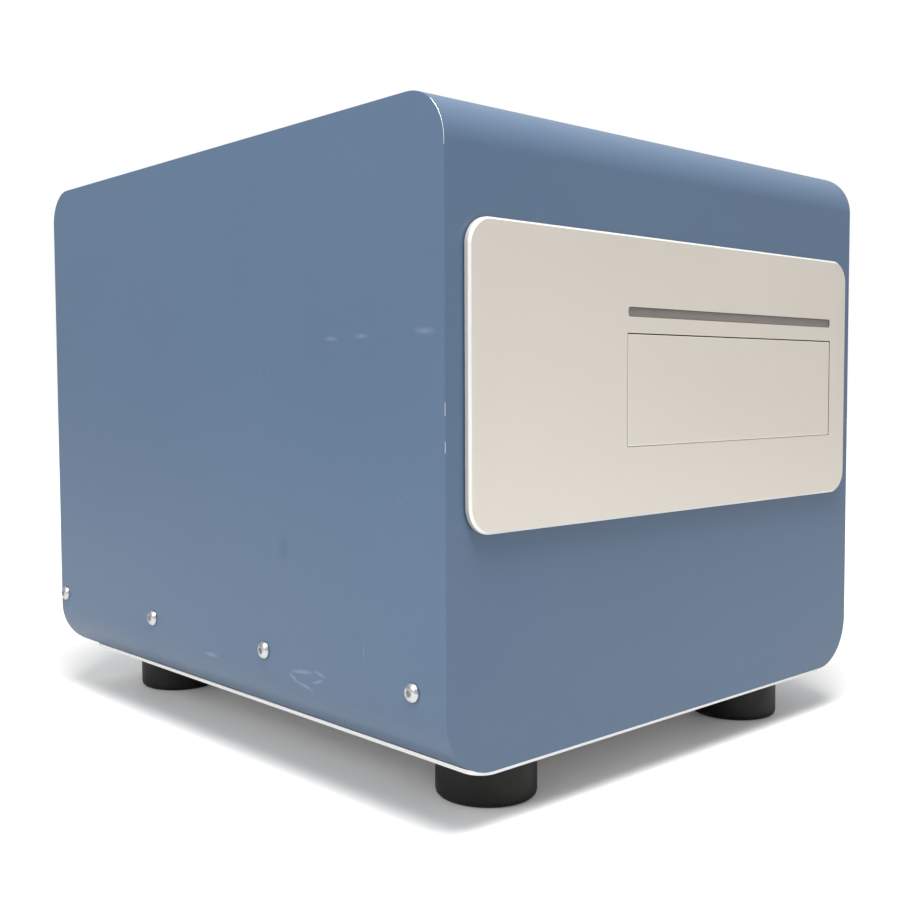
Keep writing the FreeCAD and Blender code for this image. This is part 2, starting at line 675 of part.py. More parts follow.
# Front plate: thick, anodised, with a relieved sill that lets the flap's lower edge turn
front_plate = new_body("front_plate")
add(front_plate, "plate_sheet", "XZ",
    [rectangle("-plate_width / 2", "plate_z", "plate_width / 2", "plate_z + plate_height")],
    "plate_thickness", lift="-plate_back_y")
dress(front_plate, "Fillet", "plate_corners", "plate_corner", along_y)
dress(front_plate, "Chamfer", "plate_edge", "plate_chamfer", in_front)
cut(front_plate, "plate_windows", "XZ",
    [centred("door_offset", "door_z + door_height / 2", "door_width", "door_height"),
     centred("door_offset", "slot_z + slot_height / 2", "slot_width", "slot_height")])
cut(front_plate, "plate_sill", "YZ", [disc("hinge_y", "hinge_z", "sill_radius")], "door_width",
    lift="door_offset + door_width / 2")
keep(front_plate, "front_plate")

gasket = new_body("front_plate_gasket")
add(gasket, "gasket_ring", "XZ",
    [rectangle("gasket_inset - plate_width / 2", "plate_z + gasket_inset",
               "plate_width / 2 - gasket_inset", "plate_z + plate_height - gasket_inset"),
     rectangle("window_left", "window_low", "window_right", "window_high")],
    "gasket_thickness", lift="-front_y")
dress(gasket, "Fillet", "gasket_corners", "plate_corner - gasket_inset", outer_corner)
keep(gasket, "front_plate_gasket")

# Flap: its origin is on the hinge axis, and everything below the axis stays inside the
# swing radius, so that it turns past the sill
door_flap = new_body("door_flap", "door_offset", "hinge_y", "hinge_z")
flap_top = "door_height - hinge_up - door_gap"
add(door_flap, "flap_panel", "YZ",
    [outline(("-hinge_back", "-sqrt(swing_radius^2 - hinge_back^2)"),
             ("flap_back", "-sqrt(swing_radius^2 - flap_back^2)"),
             ("flap_back", flap_top), ("-hinge_back", flap_top))],
    "2 * flap_half", Midplane=True)
dress(door_flap, "Chamfer", "flap_edge", "door_edge", in_front)
for side in HALVES:
    name = "left_ear" if side else "right_ear"
    middle = f"{side}(flap_half - ear_inset) + ear_width / 2"
    add(door_flap, name + "_root", "YZ", [rectangle("flap_back", "-ear_radius", "0", "ear_radius")],
        "ear_width", lift=middle, Reversed=True)
    add(door_flap, name, "YZ", [disc("0", "0", "ear_radius")], "ear_width", lift=middle, Reversed=True)
cut(door_flap, "pin_bore", "YZ", [disc("0", "0", "pin_radius + running_gap")])
cut(door_flap, "spring_pocket", "YZ", [disc("0", "0", "spring_outside + block_gap")],
    "spring_coils * spring_wire + 2 * door_gap", lift="flap_half - spring_inset + door_gap")
keep(door_flap, "door_flap")

door_pin = rod("door_hinge_pin", "door_offset - pin_half", "hinge_y", "hinge_z", "pin_radius",
               "2 * pin_half", TO_X)
keep(door_pin, "door_hinge_pin")

hinge_bracket = new_body("hinge_bracket")
add(hinge_bracket, "bracket_foot", "XZ",
    [rectangle("0", "-bracket_height / 2", "bracket_width", "bracket_height / 2")],
    "bracket_base", lift="hinge_back - plate_thickness - bracket_base")
add(hinge_bracket, "bracket_lug", "YZ",
    [rectangle("plate_thickness - hinge_back", "-lug_reach", "lug_reach", "lug_reach")], "lug_width")
cut(hinge_bracket, "bracket_bore", "YZ", [disc("0", "0", "pin_radius + running_gap")])
copies("door_hinge_brackets", hinge_bracket,
       [("door_offset + door_width / 2 + lug_gap", "hinge_y", "hinge_z"),
        ("door_offset - door_width / 2 - lug_gap", "hinge_y", "hinge_z", FreeCAD.Rotation(Y_AXIS, 180))])

# Torsion spring: close-wound coils as ridges, with one leg up the back of the flap
door_spring = new_body("door_spring", "door_offset + flap_half - spring_inset", "hinge_y", "hinge_z")
coil_inside = polygon("0", "0", "spring_outside - spring_wire", HOLE_SIDES)
add(door_spring, "spring_tube", "YZ",
    [polygon("0", "0", "spring_outside - spring_wire / 3", HOLE_SIDES), coil_inside],
    "spring_coils * spring_wire", Reversed=True)
for i in range(driving["spring_coils"]):
    add(door_spring, f"spring_coil_{i + 1}", "YZ",
        [polygon("0", "0", "spring_outside", HOLE_SIDES), coil_inside], "2 * spring_wire / 3",
        lift=f"-{i} * spring_wire - spring_wire / 6", Reversed=True)
add(door_spring, "spring_leg_wire", "XY",
    [disc("-spring_wire / 2", "flap_back + spring_wire / 2 + running_gap", "spring_wire / 2")],
    "spring_leg", lift="pin_radius")
keep(door_spring, "door_spring")

# Status light: a clear bar in the slot, held by its flange, with a lamp strip behind
light_pipe = new_body("status_light_pipe")
pipe_z = "slot_z + slot_height / 2"
add(light_pipe, "pipe_flange_bar", "XZ",
    [centred("door_offset", pipe_z, "slot_width + 2 * pipe_flange", "slot_height + 2 * pipe_flange")],
    "pipe_flange", lift="-(plate_back_y + pipe_flange)")
add(light_pipe, "pipe_bar", "XZ",
    [centred("door_offset", pipe_z, "slot_width - 2 * pipe_gap", "slot_height - 2 * pipe_gap")],
    "plate_thickness - pipe_recess", lift="-plate_back_y")
keep(light_pipe, "status_light_pipe")
led_board = new_body("status_led_board")
led_face = "plate_back_y + pipe_flange + led_height"
add(led_board, "led_strip", "XZ", [centred("door_offset", pipe_z, "slot_width", "led_board_height")],
    "board_thickness", lift=f"-({led_face} + board_thickness)")
led_step = "slot_width / led_count"
add(led_board, "leds", "XZ",
    [centred(f"door_offset - slot_width / 2 + {i + 0.5} * {led_step}", pipe_z, "led_size", "led_size")
     for i in range(driving["led_count"])], "led_height", lift=f"-({led_face})")
keep(led_board, "status_led_board")

# Cooling fan behind the rear panel, with a wire guard outside
fan_frame = new_body("fan_frame", "-fan_left", "rear_inner_y", "fan_z")
fan_ring = polygon("0", "0", "fan_bore", driving["fan_sides"])
fan_square = [centred("0", "0", "fan_size", "fan_size"), fan_ring]
add(fan_frame, "fan_rear_flange", "XZ", fan_square, "strut_depth")
fan_skin = polygon("0", "0", "fan_bore + fan_wall", driving["fan_sides"])
add(fan_frame, "fan_barrel", "XZ", [fan_skin, fan_ring], "fan_depth")
add(fan_frame, "fan_front_flange", "XZ", fan_square, "strut_depth", lift="fan_depth - strut_depth")
dress(fan_frame, "Chamfer", "fan_corners", "fan_corner", outer_corner)
add(fan_frame, "fan_struts_across", "XZ", [centred("0", "0", "2 * fan_bore + fan_wall", "strut_width")],
    "strut_depth", lift="fan_depth - strut_depth")
add(fan_frame, "fan_struts_up", "XZ", [centred("0", "0", "strut_width", "2 * fan_bore + fan_wall")],
    "strut_depth", lift="fan_depth - strut_depth")
fan_hub_outline = polygon("0", "0", "fan_hub", driving["hub_sides"])
add(fan_frame, "fan_hub_plate", "XZ", [fan_hub_outline], "strut_depth",
    lift="fan_depth - strut_depth")
add(fan_frame, "fan_axle", "XZ", [disc("0", "0", "axle_radius")],
    "fan_depth - strut_depth - fan_front_gap", lift="fan_front_gap")
cut(fan_frame, "fan_holes", "XZ", fan_screw_holes)
keep(fan_frame, "fan_frame")

fan_rotor = new_body("fan_rotor", "-fan_left", "rear_inner_y", "fan_z")
rotor_length = "fan_depth - strut_depth - 2 * fan_front_gap"
add(fan_rotor, "rotor_hub", "XZ", [fan_hub_outline, disc("0", "0", "axle_radius + running_gap")],
    rotor_length, lift="fan_front_gap")
chord_y = "blade_chord / 2 * sin(fan_blade_pitch * 1 deg)"
chord_z = "blade_chord / 2 * cos(fan_blade_pitch * 1 deg)"
blade_y = "-(fan_depth - strut_depth) / 2"
blade = add(fan_rotor, "rotor_blade", "YZ",
            [outline((f"{blade_y} - {chord_y}", f"-{chord_z}"),
                     (f"{blade_y} - {chord_y} + blade_thickness", f"-{chord_z}"),
                     (f"{blade_y} + {chord_y}", chord_z),
                     (f"{blade_y} + {chord_y} - blade_thickness", chord_z))],
            "fan_blade_tip - fan_hub + edge_round", lift="fan_hub - edge_round")
polar(fan_rotor, blade, "fan_blades", "Y")
keep(fan_rotor, "fan_rotor")

fan_guard = new_body("fan_guard", "-fan_left", "rear_face_y", "fan_z")
half_wire = "guard_wire / 2"
eye_reach = "fan_hole_pitch / 2"
slope = "guard_wire / 2 / sqrt(2)"
for name, turn in (("rising", ""), ("falling", "-")):
    low_z, high_z = (f"-{eye_reach}", eye_reach) if name == "rising" else (eye_reach, f"-{eye_reach}")
    tilt = slope if name == "rising" else f"-{slope}"
    add(fan_guard, name + "_bar", "XZ",
        [outline((f"-{eye_reach} - {slope}", f"{low_z} + {tilt}"),
                 (f"-{eye_reach} + {slope}", f"{low_z} - {tilt}"),
                 (f"{eye_reach} + {slope}", f"{high_z} - {tilt}"),
                 (f"{eye_reach} - {slope}", f"{high_z} + {tilt}"))],
        "guard_wire", lift="-(rear_stand - guard_wire)")
for i in range(1, driving["guard_rings"] + 1):
    radius = f"{i} * guard_ring_step"
    add(fan_guard, f"guard_ring_{i}", "XZ",
        [polygon("0", "0", f"{radius} + {half_wire}", driving["ring_sides"]),
         polygon("0", "0", f"{radius} - {half_wire}", driving["ring_sides"])],
        "guard_wire", lift="-rear_stand")
add(fan_guard, "guard_eyes", "XZ", [polygon(x, z, "guard_eye", HOLE_SIDES) for x, z in FAN_CORNERS],
    "rear_stand - guard_wire", lift="-(rear_stand - guard_wire)")
cut(fan_guard, "guard_eye_holes", "XZ", fan_screw_holes)
keep(fan_guard, "fan_guard")
small_screw = cap_screw("small_screw", "small_screw_radius", "small_screw_length", "small_screw_head",
                        "guard_wire", "small_screw_flats", "edge_round")
copies("fan_screws", small_screw,
       [(f"-fan_left + {x}", "rear_face_y + rear_stand - guard_wire", f"fan_z + {z}", TO_Y)
        for x, z in FAN_CORNERS])

# Power inlet with three contacts in its cavity
power_inlet = new_body("power_inlet", "inlet_x", "rear_face_y", "inside_z + inlet_rise")
add(power_inlet, "inlet_flange_plate", "XZ", [centred("0", "0", "inlet_flange", "inlet_flange_height")],
    "inlet_flange_thick", lift="-inlet_flange_thick")
dress(power_inlet, "Fillet", "inlet_corners", "rear_corner", along_y)
add(power_inlet, "inlet_shell", "XZ",
    [centred("0", "0", "inlet_width - 2 * block_gap", "inlet_height - 2 * block_gap")], "inlet_depth")
cut(power_inlet, "inlet_cavity_space", "XZ",
    [centred("0", "0", "inlet_width - 2 * inlet_wall", "inlet_height - 2 * inlet_wall")],
    "inlet_cavity", lift="-inlet_flange_thick", Reversed=True)
add(power_inlet, "contacts", "XZ",
    [centred(f"{x} * contact_pitch", f"{z} * contact_height", "contact_height", "contact_width")
     for x, z in ((-1, -0.5), (0, 1), (1, -0.5))],
    "inlet_cavity - inlet_flange_thick - inlet_wall", lift="inlet_wall")
keep(power_inlet, "power_inlet")

# Rocker switch: the rocker rests tilted to one side
switch_bezel = new_body("switch_bezel", "switch_x", "rear_face_y", "inside_z + switch_rise")
add(switch_bezel, "bezel_rim", "XZ",
    [centred("0", "0", "switch_width + 2 * inlet_wall + 2 * switch_rim",
             "switch_height + 2 * inlet_wall + 2 * switch_rim")], "switch_rim", lift="-switch_rim")
add(switch_bezel, "bezel_body", "XZ",
    [centred("0", "0", "switch_width + 2 * inlet_wall - 2 * sheet_gap",
             "switch_height + 2 * inlet_wall - 2 * sheet_gap")], "switch_depth")
cut(switch_bezel, "bezel_well", "XZ", [centred("0", "0", "switch_width", "switch_height")],
    "switch_depth", lift="-switch_rim", Reversed=True)
cut(switch_bezel, "bezel_axle_bore", "YZ", [disc("-rocker_back", "0", "axle_radius + running_gap")])
keep(switch_bezel, "switch_bezel")
switch_rocker = place(doc.addObject("PartDesign::Body", "switch_rocker"), "switch_x",
                      "rear_face_y - rocker_back", "inside_z + switch_rise",
                      FreeCAD.Rotation(X_AXIS, driving["rocker_tilt"]))
add(switch_rocker, "rocker_paddle", "YZ",
    [outline(("-rocker_back", "-rocker_half / 2"), ("rocker_face", "-rocker_half"),
             ("rocker_back", "0"), ("rocker_face", "rocker_half"), ("-rocker_back", "rocker_half / 2"))],
    "switch_width - 2 * block_gap", Midplane=True)
add(switch_rocker, "rocker_axle", "YZ", [disc("0", "0", "axle_radius")],
    "switch_width + 2 * inlet_wall - 2 * sheet_gap", Midplane=True)
keep(switch_rocker, "switch_rocker")

usb_shell = block("usb_shell", "usb_x", "rear_face_y + edge_round - usb_depth / 2",
                  "inside_z + usb_rise - usb_height / 2", "usb_size - 2 * sheet_gap", "usb_depth",
                  "usb_height")
usb_mouth = block("usb_mouth", "usb_x", "rear_face_y + edge_round - usb_depth / 2 + usb_wall",
                  "inside_z + usb_rise - usb_height / 2 + usb_wall",
                  "usb_size - 2 * usb_wall - 2 * sheet_gap", "usb_depth", "usb_height - 2 * usb_wall")
usb_tongue = block("usb_tongue", "usb_x", "rear_face_y - usb_depth / 2",
                   "inside_z + usb_rise - usb_wall", "usb_size / 2", "usb_depth - 2 * usb_wall",
                   "2 * usb_wall")
keep(fused("usb_port", [less("usb_box", usb_shell, [usb_mouth]), usb_tongue]), "usb_port")

# Stage deck on four hexagonal posts, open over the optics
stage_deck = new_body("stage_deck")
add(stage_deck, "deck_sheet", "XY", [rectangle("deck_left", "deck_front", "deck_right", "deck_rear")],
    "deck_thickness", lift="deck_z")
dress(stage_deck, "Fillet", "deck_corners", "deck_corner", along_z)
cut(stage_deck, "deck_eyes", "XY",
    [rectangle("door_offset - eye_half_width", "eye_front", "door_offset + eye_half_width", "eye_rear"),
     rectangle("door_offset - eye_half_width", "eye_rear + eye_web", "door_offset + eye_half_width",
               "deck_rear - rear_eye_inset")])
dress(stage_deck, "Fillet", "deck_eye_corners", "deck_corner",
      lambda edge, box: along_z(edge, box) and (edge.BoundBox.XMin > box.XMin + driving["deck_corner"])
      and (edge.BoundBox.XMax < box.XMax - driving["deck_corner"]))
keep(stage_deck, "stage_deck")
deck_post = new_body("deck_post")
add(deck_post, "post_bar", "XY", [hexagon("0", "0", "2 * post_radius")], "post_length")
copies("deck_posts", deck_post,
       [(x, y, "inside_z") for x in ("post_left", "post_right") for y in ("post_front", "post_rear")])

# Guide rails with a V groove down each flank, and the blocks that run on them
rail_half = "rail_width / 2"
groove_z = "(rail_groove_low + rail_groove_high) / 2"


def guide_rail(name, length):
    body = new_body(name)
    flank = [(rail_half, "0"), (rail_half, "rail_groove_low"),
             (f"{rail_half} - rail_groove", groove_z), (rail_half, "rail_groove_high"),
             (rail_half, "rail_height")]
    mirrored = [(f"-({x})", z) for x, z in reversed(flank)]
    add(body, name + "_bar", "XZ", [outline(*flank, *mirrored)], length, Midplane=True)
    return body


def guide_block(name, length, height):
    body = new_body(name)
    add(body, name + "_bar", "XZ", [rectangle("-block_width / 2", "block_lift", "block_width / 2", height)],
        length, Midplane=True)
    wall_x = f"{rail_half} + block_gap"
    ridge_x = f"{rail_half} - rail_groove + 1.5 * block_gap"
    reach = f"({wall_x} - ({ridge_x}))"
    flank = [(wall_x, "0"), (wall_x, f"{groove_z} - {reach}"), (ridge_x, groove_z),
             (wall_x, f"{groove_z} + {reach}"), (wall_x, "rail_height + block_gap")]
    mirrored = [(f"-({x})", z) for x, z in reversed(flank)]
    cut(body, name + "_channel", "XZ", [outline(*flank, *mirrored)])
    return body


TO_SIDE = FreeCAD.Rotation(Z_AXIS, 90)
y_rail = guide_rail("y_rail", "y_rail_length")
copies("y_rails", y_rail,
       [(f"door_offset {sign} y_rail_spread", "y_rail_front + y_rail_length / 2", "deck_top")
        for sign in "-+"])
y_block = guide_block("y_block", "y_block_length", "tray_rise")
copies("y_carriages", y_block,
       [(f"door_offset {sign} y_rail_spread", "tray_rear - tray_corner - y_block_length / 2", "deck_top")
        for sign in "-+"])

# Plate tray: a nest with a ledge round its window, on two arms back to the carriages
plate_tray = new_body("plate_tray", "door_offset", "tray_front", "tray_z")
nest_middle = "nest_front + nest_depth / 2"
add(plate_tray, "tray_sheet", "XY", [rectangle("-tray_width / 2", "0", "tray_width / 2", "tray_length")],
    "tray_thickness")
dress(plate_tray, "Fillet", "tray_corners", "tray_corner", along_z)
add(plate_tray, "nut_lug", "XY",
    [rectangle("screw_x + nut_width / 2 - door_offset", "tray_length - 1.5 * nut_length",
               "-tray_width / 2 + tray_corner", "tray_length - nut_length / 2")], "tray_thickness")
cut(plate_tray, "nest", "XY", [centred("0", nest_middle, "nest_width", "nest_depth")],
    "tray_thickness - nest_sink", lift="tray_thickness")
cut(plate_tray, "tray_windows", "XY",
    [centred("0", nest_middle, "nest_width - 2 * nest_ledge", "nest_depth - 2 * nest_ledge"),
     rectangle("tray_arm - tray_width / 2", "2 * nest_front + nest_depth", "tray_width / 2 - tray_arm",
               "tray_length - tray_back_bar")])
keep(plate_tray, "plate_tray")
plate_clip = new_body("plate_clip", "door_offset", "tray_front + nest_front + nest_depth",
                      "tray_z + tray_thickness")
add(plate_clip, "clip_foot", "XY",
    [rectangle("-clip_length / 2", "door_gap", "clip_length / 2", "nest_front - door_gap")], "clip_thickness")
add(plate_clip, "clip_leaf", "XY",
    [rectangle("-clip_length / 2", "door_gap", "clip_length / 2", "door_gap + clip_thickness")],
    "clip_height")
keep(plate_clip, "plate_clip")


# Lead screw of the tray, its nut, its front bearing, and the motor on its mount
def along_tray(name, start, length, radius):
    return rod(name, "screw_x", start, "screw_z", radius, length, TO_Y)


main_length = "y_screw_rear - y_screw_front - bearing_length - sheet_gap"
y_screw = fused("y_lead_screw", [
    along_tray("screw_thread", f"y_screw_rear - ({main_length})", main_length, "y_screw_radius"),
    along_tray("screw_journal", "y_screw_front", "bearing_length + deck_corner", "journal_radius")])
keep(y_screw, "y_lead_screw")
y_bearing = less("y_screw_bearing",
                 block("bearing_block", "screw_x", "y_screw_front + bearing_length / 2", "deck_top",
                       "bearing_width", "bearing_length", "screw_z + bearing_head - deck_top"),
                 [along_tray("bearing_bore", "y_screw_front - bearing_length", "3 * bearing_length",
                             "journal_radius + running_gap")])
keep(y_bearing, "y_screw_bearing")
y_nut = less("y_drive_nut",
             block("nut_block", "screw_x", "nut_y", "screw_z - nut_height / 2", "nut_width", "nut_length",
                   "nut_height"),
             [along_tray("nut_bore", "nut_y - nut_length", "2 * nut_length", "y_screw_radius + running_gap")])
keep(y_nut, "y_drive_nut")
y_coupler = less("y_coupler",
                 along_tray("coupler_bar", "y_screw_rear - coupler_length / 2", "coupler_length",
                            "coupler_radius"),
                 [along_tray("coupler_screw_bore", "y_screw_rear - coupler_length", "coupler_length",
                             "y_screw_radius + running_gap"),
                  along_tray("coupler_shaft_bore", "y_screw_rear", "coupler_length",
                             "motor_shaft + running_gap"),
                  block("coupler_clamp_slit", "screw_x", "y_screw_rear", "screw_z", "coupler_slit",
                        "2 * coupler_length", "2 * coupler_radius")])
keep(y_coupler, "y_coupler")
y_shaft = along_tray("y_motor_shaft", "y_screw_rear + sheet_gap",
                     "motor_face - y_screw_rear + motor_bore - 2 * sheet_gap", "motor_shaft")
keep(y_shaft, "y_motor_shaft")


def stepper(name, size, length, bore):
    """A square stepper: end caps and a slightly narrower stack, the shaft end at the front."""
    body = new_body(name)
    cap = f"({length}) / 4"
    add(body, name + "_stack", "XZ", [centred("0", "0", size, size)], length, lift=f"-({length})")
    dress(body, "Chamfer", name + "_corners", "motor_corner", along_y)
    cut(body, name + "_waist", "XZ",
        [centred("0", "0", f"2 * {size}", f"2 * {size}"),
         centred("0", "0", f"{size} - edge_round", f"{size} - edge_round")],
        f"{length} - 2 * ({cap})", lift=f"-({cap})")
    add(body, name + "_boss", "XZ", [disc("0", "0", "motor_boss")], "motor_boss_height")
    cut(body, name + "_bore", "XZ", [disc("0", "0", f"{bore} + running_gap")],
        "motor_bore + motor_boss_height", lift="motor_boss_height")
    return body


y_motor = stepper("y_motor", "motor_size", "motor_length", "motor_shaft")
place(y_motor, "screw_x", "motor_face", "screw_z")
keep(y_motor, "y_motor")
y_mount = new_body("y_motor_mount", "screw_x", "motor_face", "deck_top")
add(y_mount, "mount_upright", "XZ",
    [rectangle("-motor_size / 2", "0", "motor_size / 2", "screw_z - deck_top + motor_size / 2")],
    "mount_thickness")
add(y_mount, "mount_floor", "XZ", [rectangle("-motor_size / 2", "0", "motor_size / 2", "mount_thickness")],
    "mount_foot", lift="mount_thickness")
cut(y_mount, "mount_hole", "XZ", [disc("0", "screw_z - deck_top", "motor_boss + block_gap")])
keep(y_mount, "y_motor_mount")

# Lamp panel over the tray, hung from a bridge that stands on the deck
lamp_bridge = new_body("light_panel_bracket")
left_out, left_in = "deck_left + mount_thickness", "deck_left + 2 * mount_thickness"
right_out, right_in = "deck_right - mount_thickness", "deck_right - 2 * mount_thickness"
bridge_under = "lamp_z + lamp_thickness"
bridge_top = f"{bridge_under} + mount_thickness"
foot_top = "deck_top + mount_thickness"
add(lamp_bridge, "bridge_sheet", "XZ",
    [outline((left_out, "deck_top"), (f"{left_in} + bracket_foot", "deck_top"),
             (f"{left_in} + bracket_foot", foot_top), (left_in, foot_top), (left_in, bridge_under),
             (right_in, bridge_under), (right_in, foot_top), (f"{right_in} - bracket_foot", foot_top),
             (f"{right_in} - bracket_foot", "deck_top"), (right_out, "deck_top"),
             (right_out, bridge_top), (left_out, bridge_top))],
    "bracket_depth", lift="-(optics_y + bracket_depth / 2)")
dress(lamp_bridge, "Fillet", "bridge_bends", "mount_thickness", upper_corner)
keep(lamp_bridge, "light_panel_bracket")
light_panel = new_body("light_panel", "door_offset", "optics_y", "lamp_z")
add(light_panel, "panel_housing", "XY", [centred("0", "0", "lamp_width", "lamp_depth")], "lamp_thickness")
dress(light_panel, "Fillet", "panel_corners", "tray_corner", along_z)
cut(light_panel, "panel_recess", "XY",
    [centred("0", "0", "lamp_width - 2 * nest_ledge", "lamp_depth - 2 * nest_ledge")],
    "inlet_wall", Reversed=True)
keep(light_panel, "light_panel")

# Scanning stage under the deck: base, rails, blocks, carriage, screw and motor
optics_base = new_body("optics_base")
add(optics_base, "optics_sheet", "XY",
    [rectangle("base_left", "optics_y - base_depth / 2", "base_right", "optics_y + base_depth / 2")],
    "optics_base_thick", lift="inside_z")
keep(optics_base, "optics_base")
x_rail = guide_rail("x_rail", "x_rail_length")
copies("x_rails", x_rail, [("door_offset", f"optics_y {sign} x_rail_spread", "optics_top", TO_SIDE)
                           for sign in "-+"])
x_block = guide_block("x_block", "x_block_length", "carriage_rise")
copies("x_carriages", x_block,
       [(f"door_offset {sign} x_block_spread", f"optics_y {row} x_rail_spread", "optics_top", TO_SIDE)
        for sign in "-+" for row in "-+"])
carriage = new_body("optics_carriage", "door_offset", "optics_y", "carriage_z")
add(carriage, "carriage_sheet", "XY", [centred("0", "0", "carriage_width", "carriage_depth")],
    "carriage_thickness")
dress(carriage, "Fillet", "carriage_corners", "deck_corner", along_z)
add(carriage, "wheel_post", "XY", [disc("-wheel_offset", "0", "wheel_post_radius")],
    "wheel_z - carriage_top - sheet_gap", lift="carriage_thickness")
add(carriage, "wheel_axle_pin", "XY", [disc("-wheel_offset", "0", "wheel_axle")],
    "wheel_z - carriage_top + wheel_thickness + mount_thickness", lift="carriage_thickness")
keep(carriage, "optics_carriage")


def along_scan(name, start, length, radius):
    return rod(name, start, "optics_y", "x_screw_z", radius, length, TO_X)


keep(along_scan("x_lead_screw", "base_left - mount_thickness - motor_bore + sheet_gap",
                "base_right - base_left + mount_thickness + motor_bore - 2 * sheet_gap",
                "x_screw_radius"), "x_lead_screw")
x_nut = less("x_drive_nut",
             block("x_nut_block", "door_offset", "optics_y", "carriage_z - x_nut_height", "x_nut_length",
                   "x_nut_width", "x_nut_height"),
             [along_scan("x_nut_bore", "door_offset - x_nut_length", "2 * x_nut_length",
                         "x_screw_radius + running_gap")])
keep(x_nut, "x_drive_nut")
x_bearing = less("x_screw_bearing",
                 block("x_bearing_block", "base_right - x_bearing_length / 2", "optics_y", "optics_top",
                       "x_bearing_length", "x_nut_width", "2 * x_screw_rise - edge_round"),
                 [along_scan("x_bearing_bore", "base_right - 2 * x_bearing_length",
                             "3 * x_bearing_length", "x_screw_radius + running_gap")])
keep(x_bearing, "x_screw_bearing")
x_mount = less("x_motor_mount",
               block("x_mount_upright", "base_left - mount_thickness / 2", "optics_y", "inside_z",
                     "mount_thickness", "x_motor_size", "x_screw_z + x_motor_size / 2 - inside_z"),
               [along_scan("x_mount_hole", "base_left - 2 * mount_thickness", "3 * mount_thickness",
                           "motor_boss + block_gap")])
keep(x_mount, "x_motor_mount")
x_motor = stepper("x_motor", "x_motor_size", "x_motor_length", "x_screw_radius")
place(x_motor, "x_motor_left + x_motor_length", "optics_y", "x_screw_z", TO_SIDE)
keep(x_motor, "x_motor")

# Camera, tube lens and filter wheel, in line under the objective
camera = new_body("camera_body", "door_offset", "optics_y", "carriage_top")
add(camera, "camera_box", "XY", [centred("0", "0", "camera_size", "camera_size")], "camera_height")
dress(camera, "Fillet", "camera_edges", "camera_edge", along_z)
cut(camera, "camera_waist", "XZ",
    [centred(f"{side}camera_size / 2", "camera_height / 2", "2 * edge_round", "camera_height / 2")
     for side in HALVES])
keep(camera, "camera_body")
camera_lens = new_body("camera_lens", "door_offset", "optics_y", "camera_top")
add(camera_lens, "lens_barrel", "XY", [polygon("0", "0", "lens_radius", driving["barrel_sides"])],
    "lens_height")
cut(camera_lens, "lens_mouth", "XY", [polygon("0", "0", "cube_port", driving["barrel_sides"])],
    "lens_height / 2", lift="lens_height")
keep(camera_lens, "camera_lens")
filter_wheel = new_body("filter_wheel", "door_offset - wheel_offset", "optics_y", "wheel_z")
add(filter_wheel, "wheel_disc", "XY",
    [polygon("0", "0", "wheel_radius", driving["wheel_sides"]),
     disc("0", "0", "wheel_axle + running_gap")], "wheel_thickness")
window = cut(filter_wheel, "filter_window", "XY",
             [polygon("wheel_offset", "0", "filter_radius", driving["filter_sides"])])
polar(filter_wheel, window, "filter_count", "Z")
keep(filter_wheel, "filter_wheel")
filter_glass = new_body("filter_glass")
add(filter_glass, "glass_disc", "XY",
    [polygon("0", "0", "filter_radius - running_gap", driving["filter_sides"])], "filter_thickness")
glass_turns = [f"({i} * 360 / filter_count) * 1 deg" for i in range(driving["filter_count"])]
copies("filter_glasses", filter_glass,
       [(f"door_offset - wheel_offset + wheel_offset * cos({turn})",
         f"optics_y + wheel_offset * sin({turn})", "wheel_z + edge_round") for turn in glass_turns])

# Filter cube on the column, with the lamp that shines into its front port
filter_cube = new_body("filter_cube", "door_offset", "optics_y", "cube_z")
add(filter_cube, "cube_box", "XY", [centred("0", "0", "cube_size", "cube_size")], "cube_size")
add(filter_cube, "cube_bracket", "XY",
    [rectangle("-cube_arm / 2", "cube_size / 2 - edge_round", "cube_arm / 2", "column_back")],
    "cube_size / 2")
cut(filter_cube, "cube_upright_port", "XY", [polygon("0", "0", "cube_port", driving["barrel_sides"])])
cut(filter_cube, "cube_front_port", "XZ",
    [polygon("0", "cube_size / 2", "cube_port", driving["barrel_sides"])], "cube_size / 2",
    lift="cube_size / 2")
keep(filter_cube, "filter_cube")
led_module = new_body("led_module", "door_offset", "optics_y - cube_size / 2", "cube_z + cube_size / 2")
add(led_module, "lamp_body", "XZ", [polygon("0", "0", "lamp_core", driving["core_sides"])], "lamp_length")
for i in range(driving["lamp_fins"]):
    add(led_module, f"lamp_fin_{i + 1}", "XZ", [centred("0", "0", "lamp_fin_size", "lamp_fin_size")],
        "fin_thickness", lift=f"lamp_length - fin_thickness - {i} * fin_pitch")
keep(led_module, "led_module")

# Focus: a column with an upright key, and the slide that carries the objective
focus_column = new_body("focus_column", "door_offset", "column_y", "carriage_top")
add(focus_column, "column_sheet", "XZ",
    [rectangle("-column_width / 2", "0", "column_width / 2", "column_height")], "column_thickness",
    Reversed=True)
add(focus_column, "column_key", "XZ",
    [rectangle("-key_width / 2", "column_height - key_rise / 2", "key_width / 2", "column_height")],
    "key_depth")
keep(focus_column, "focus_column")
focus_slide = new_body("focus_slide", "door_offset", "optics_y", "slide_z")
add(focus_slide, "slide_arm", "XY",
    [rectangle("-slide_width / 2", "0", "slide_width / 2", "column_back - block_gap")], "slide_height")
add(focus_slide, "slide_ring_wall", "XY", [disc("0", "0", "slide_ring")], "slide_height")
cut(focus_slide, "slide_bore", "XY", [disc("0", "0", "objective_radius + running_gap")])
cut(focus_slide, "slide_key_way", "XY",
    [rectangle("-key_width / 2 - block_gap", "column_back - key_depth - block_gap",
               "key_width / 2 + block_gap", "column_back")])
keep(focus_slide, "focus_slide")
objective = new_body("objective", "door_offset", "optics_y", "slide_z")
add(objective, "objective_barrel", "XY",
    [polygon("0", "0", "objective_radius", driving["barrel_sides"])], "slide_height")
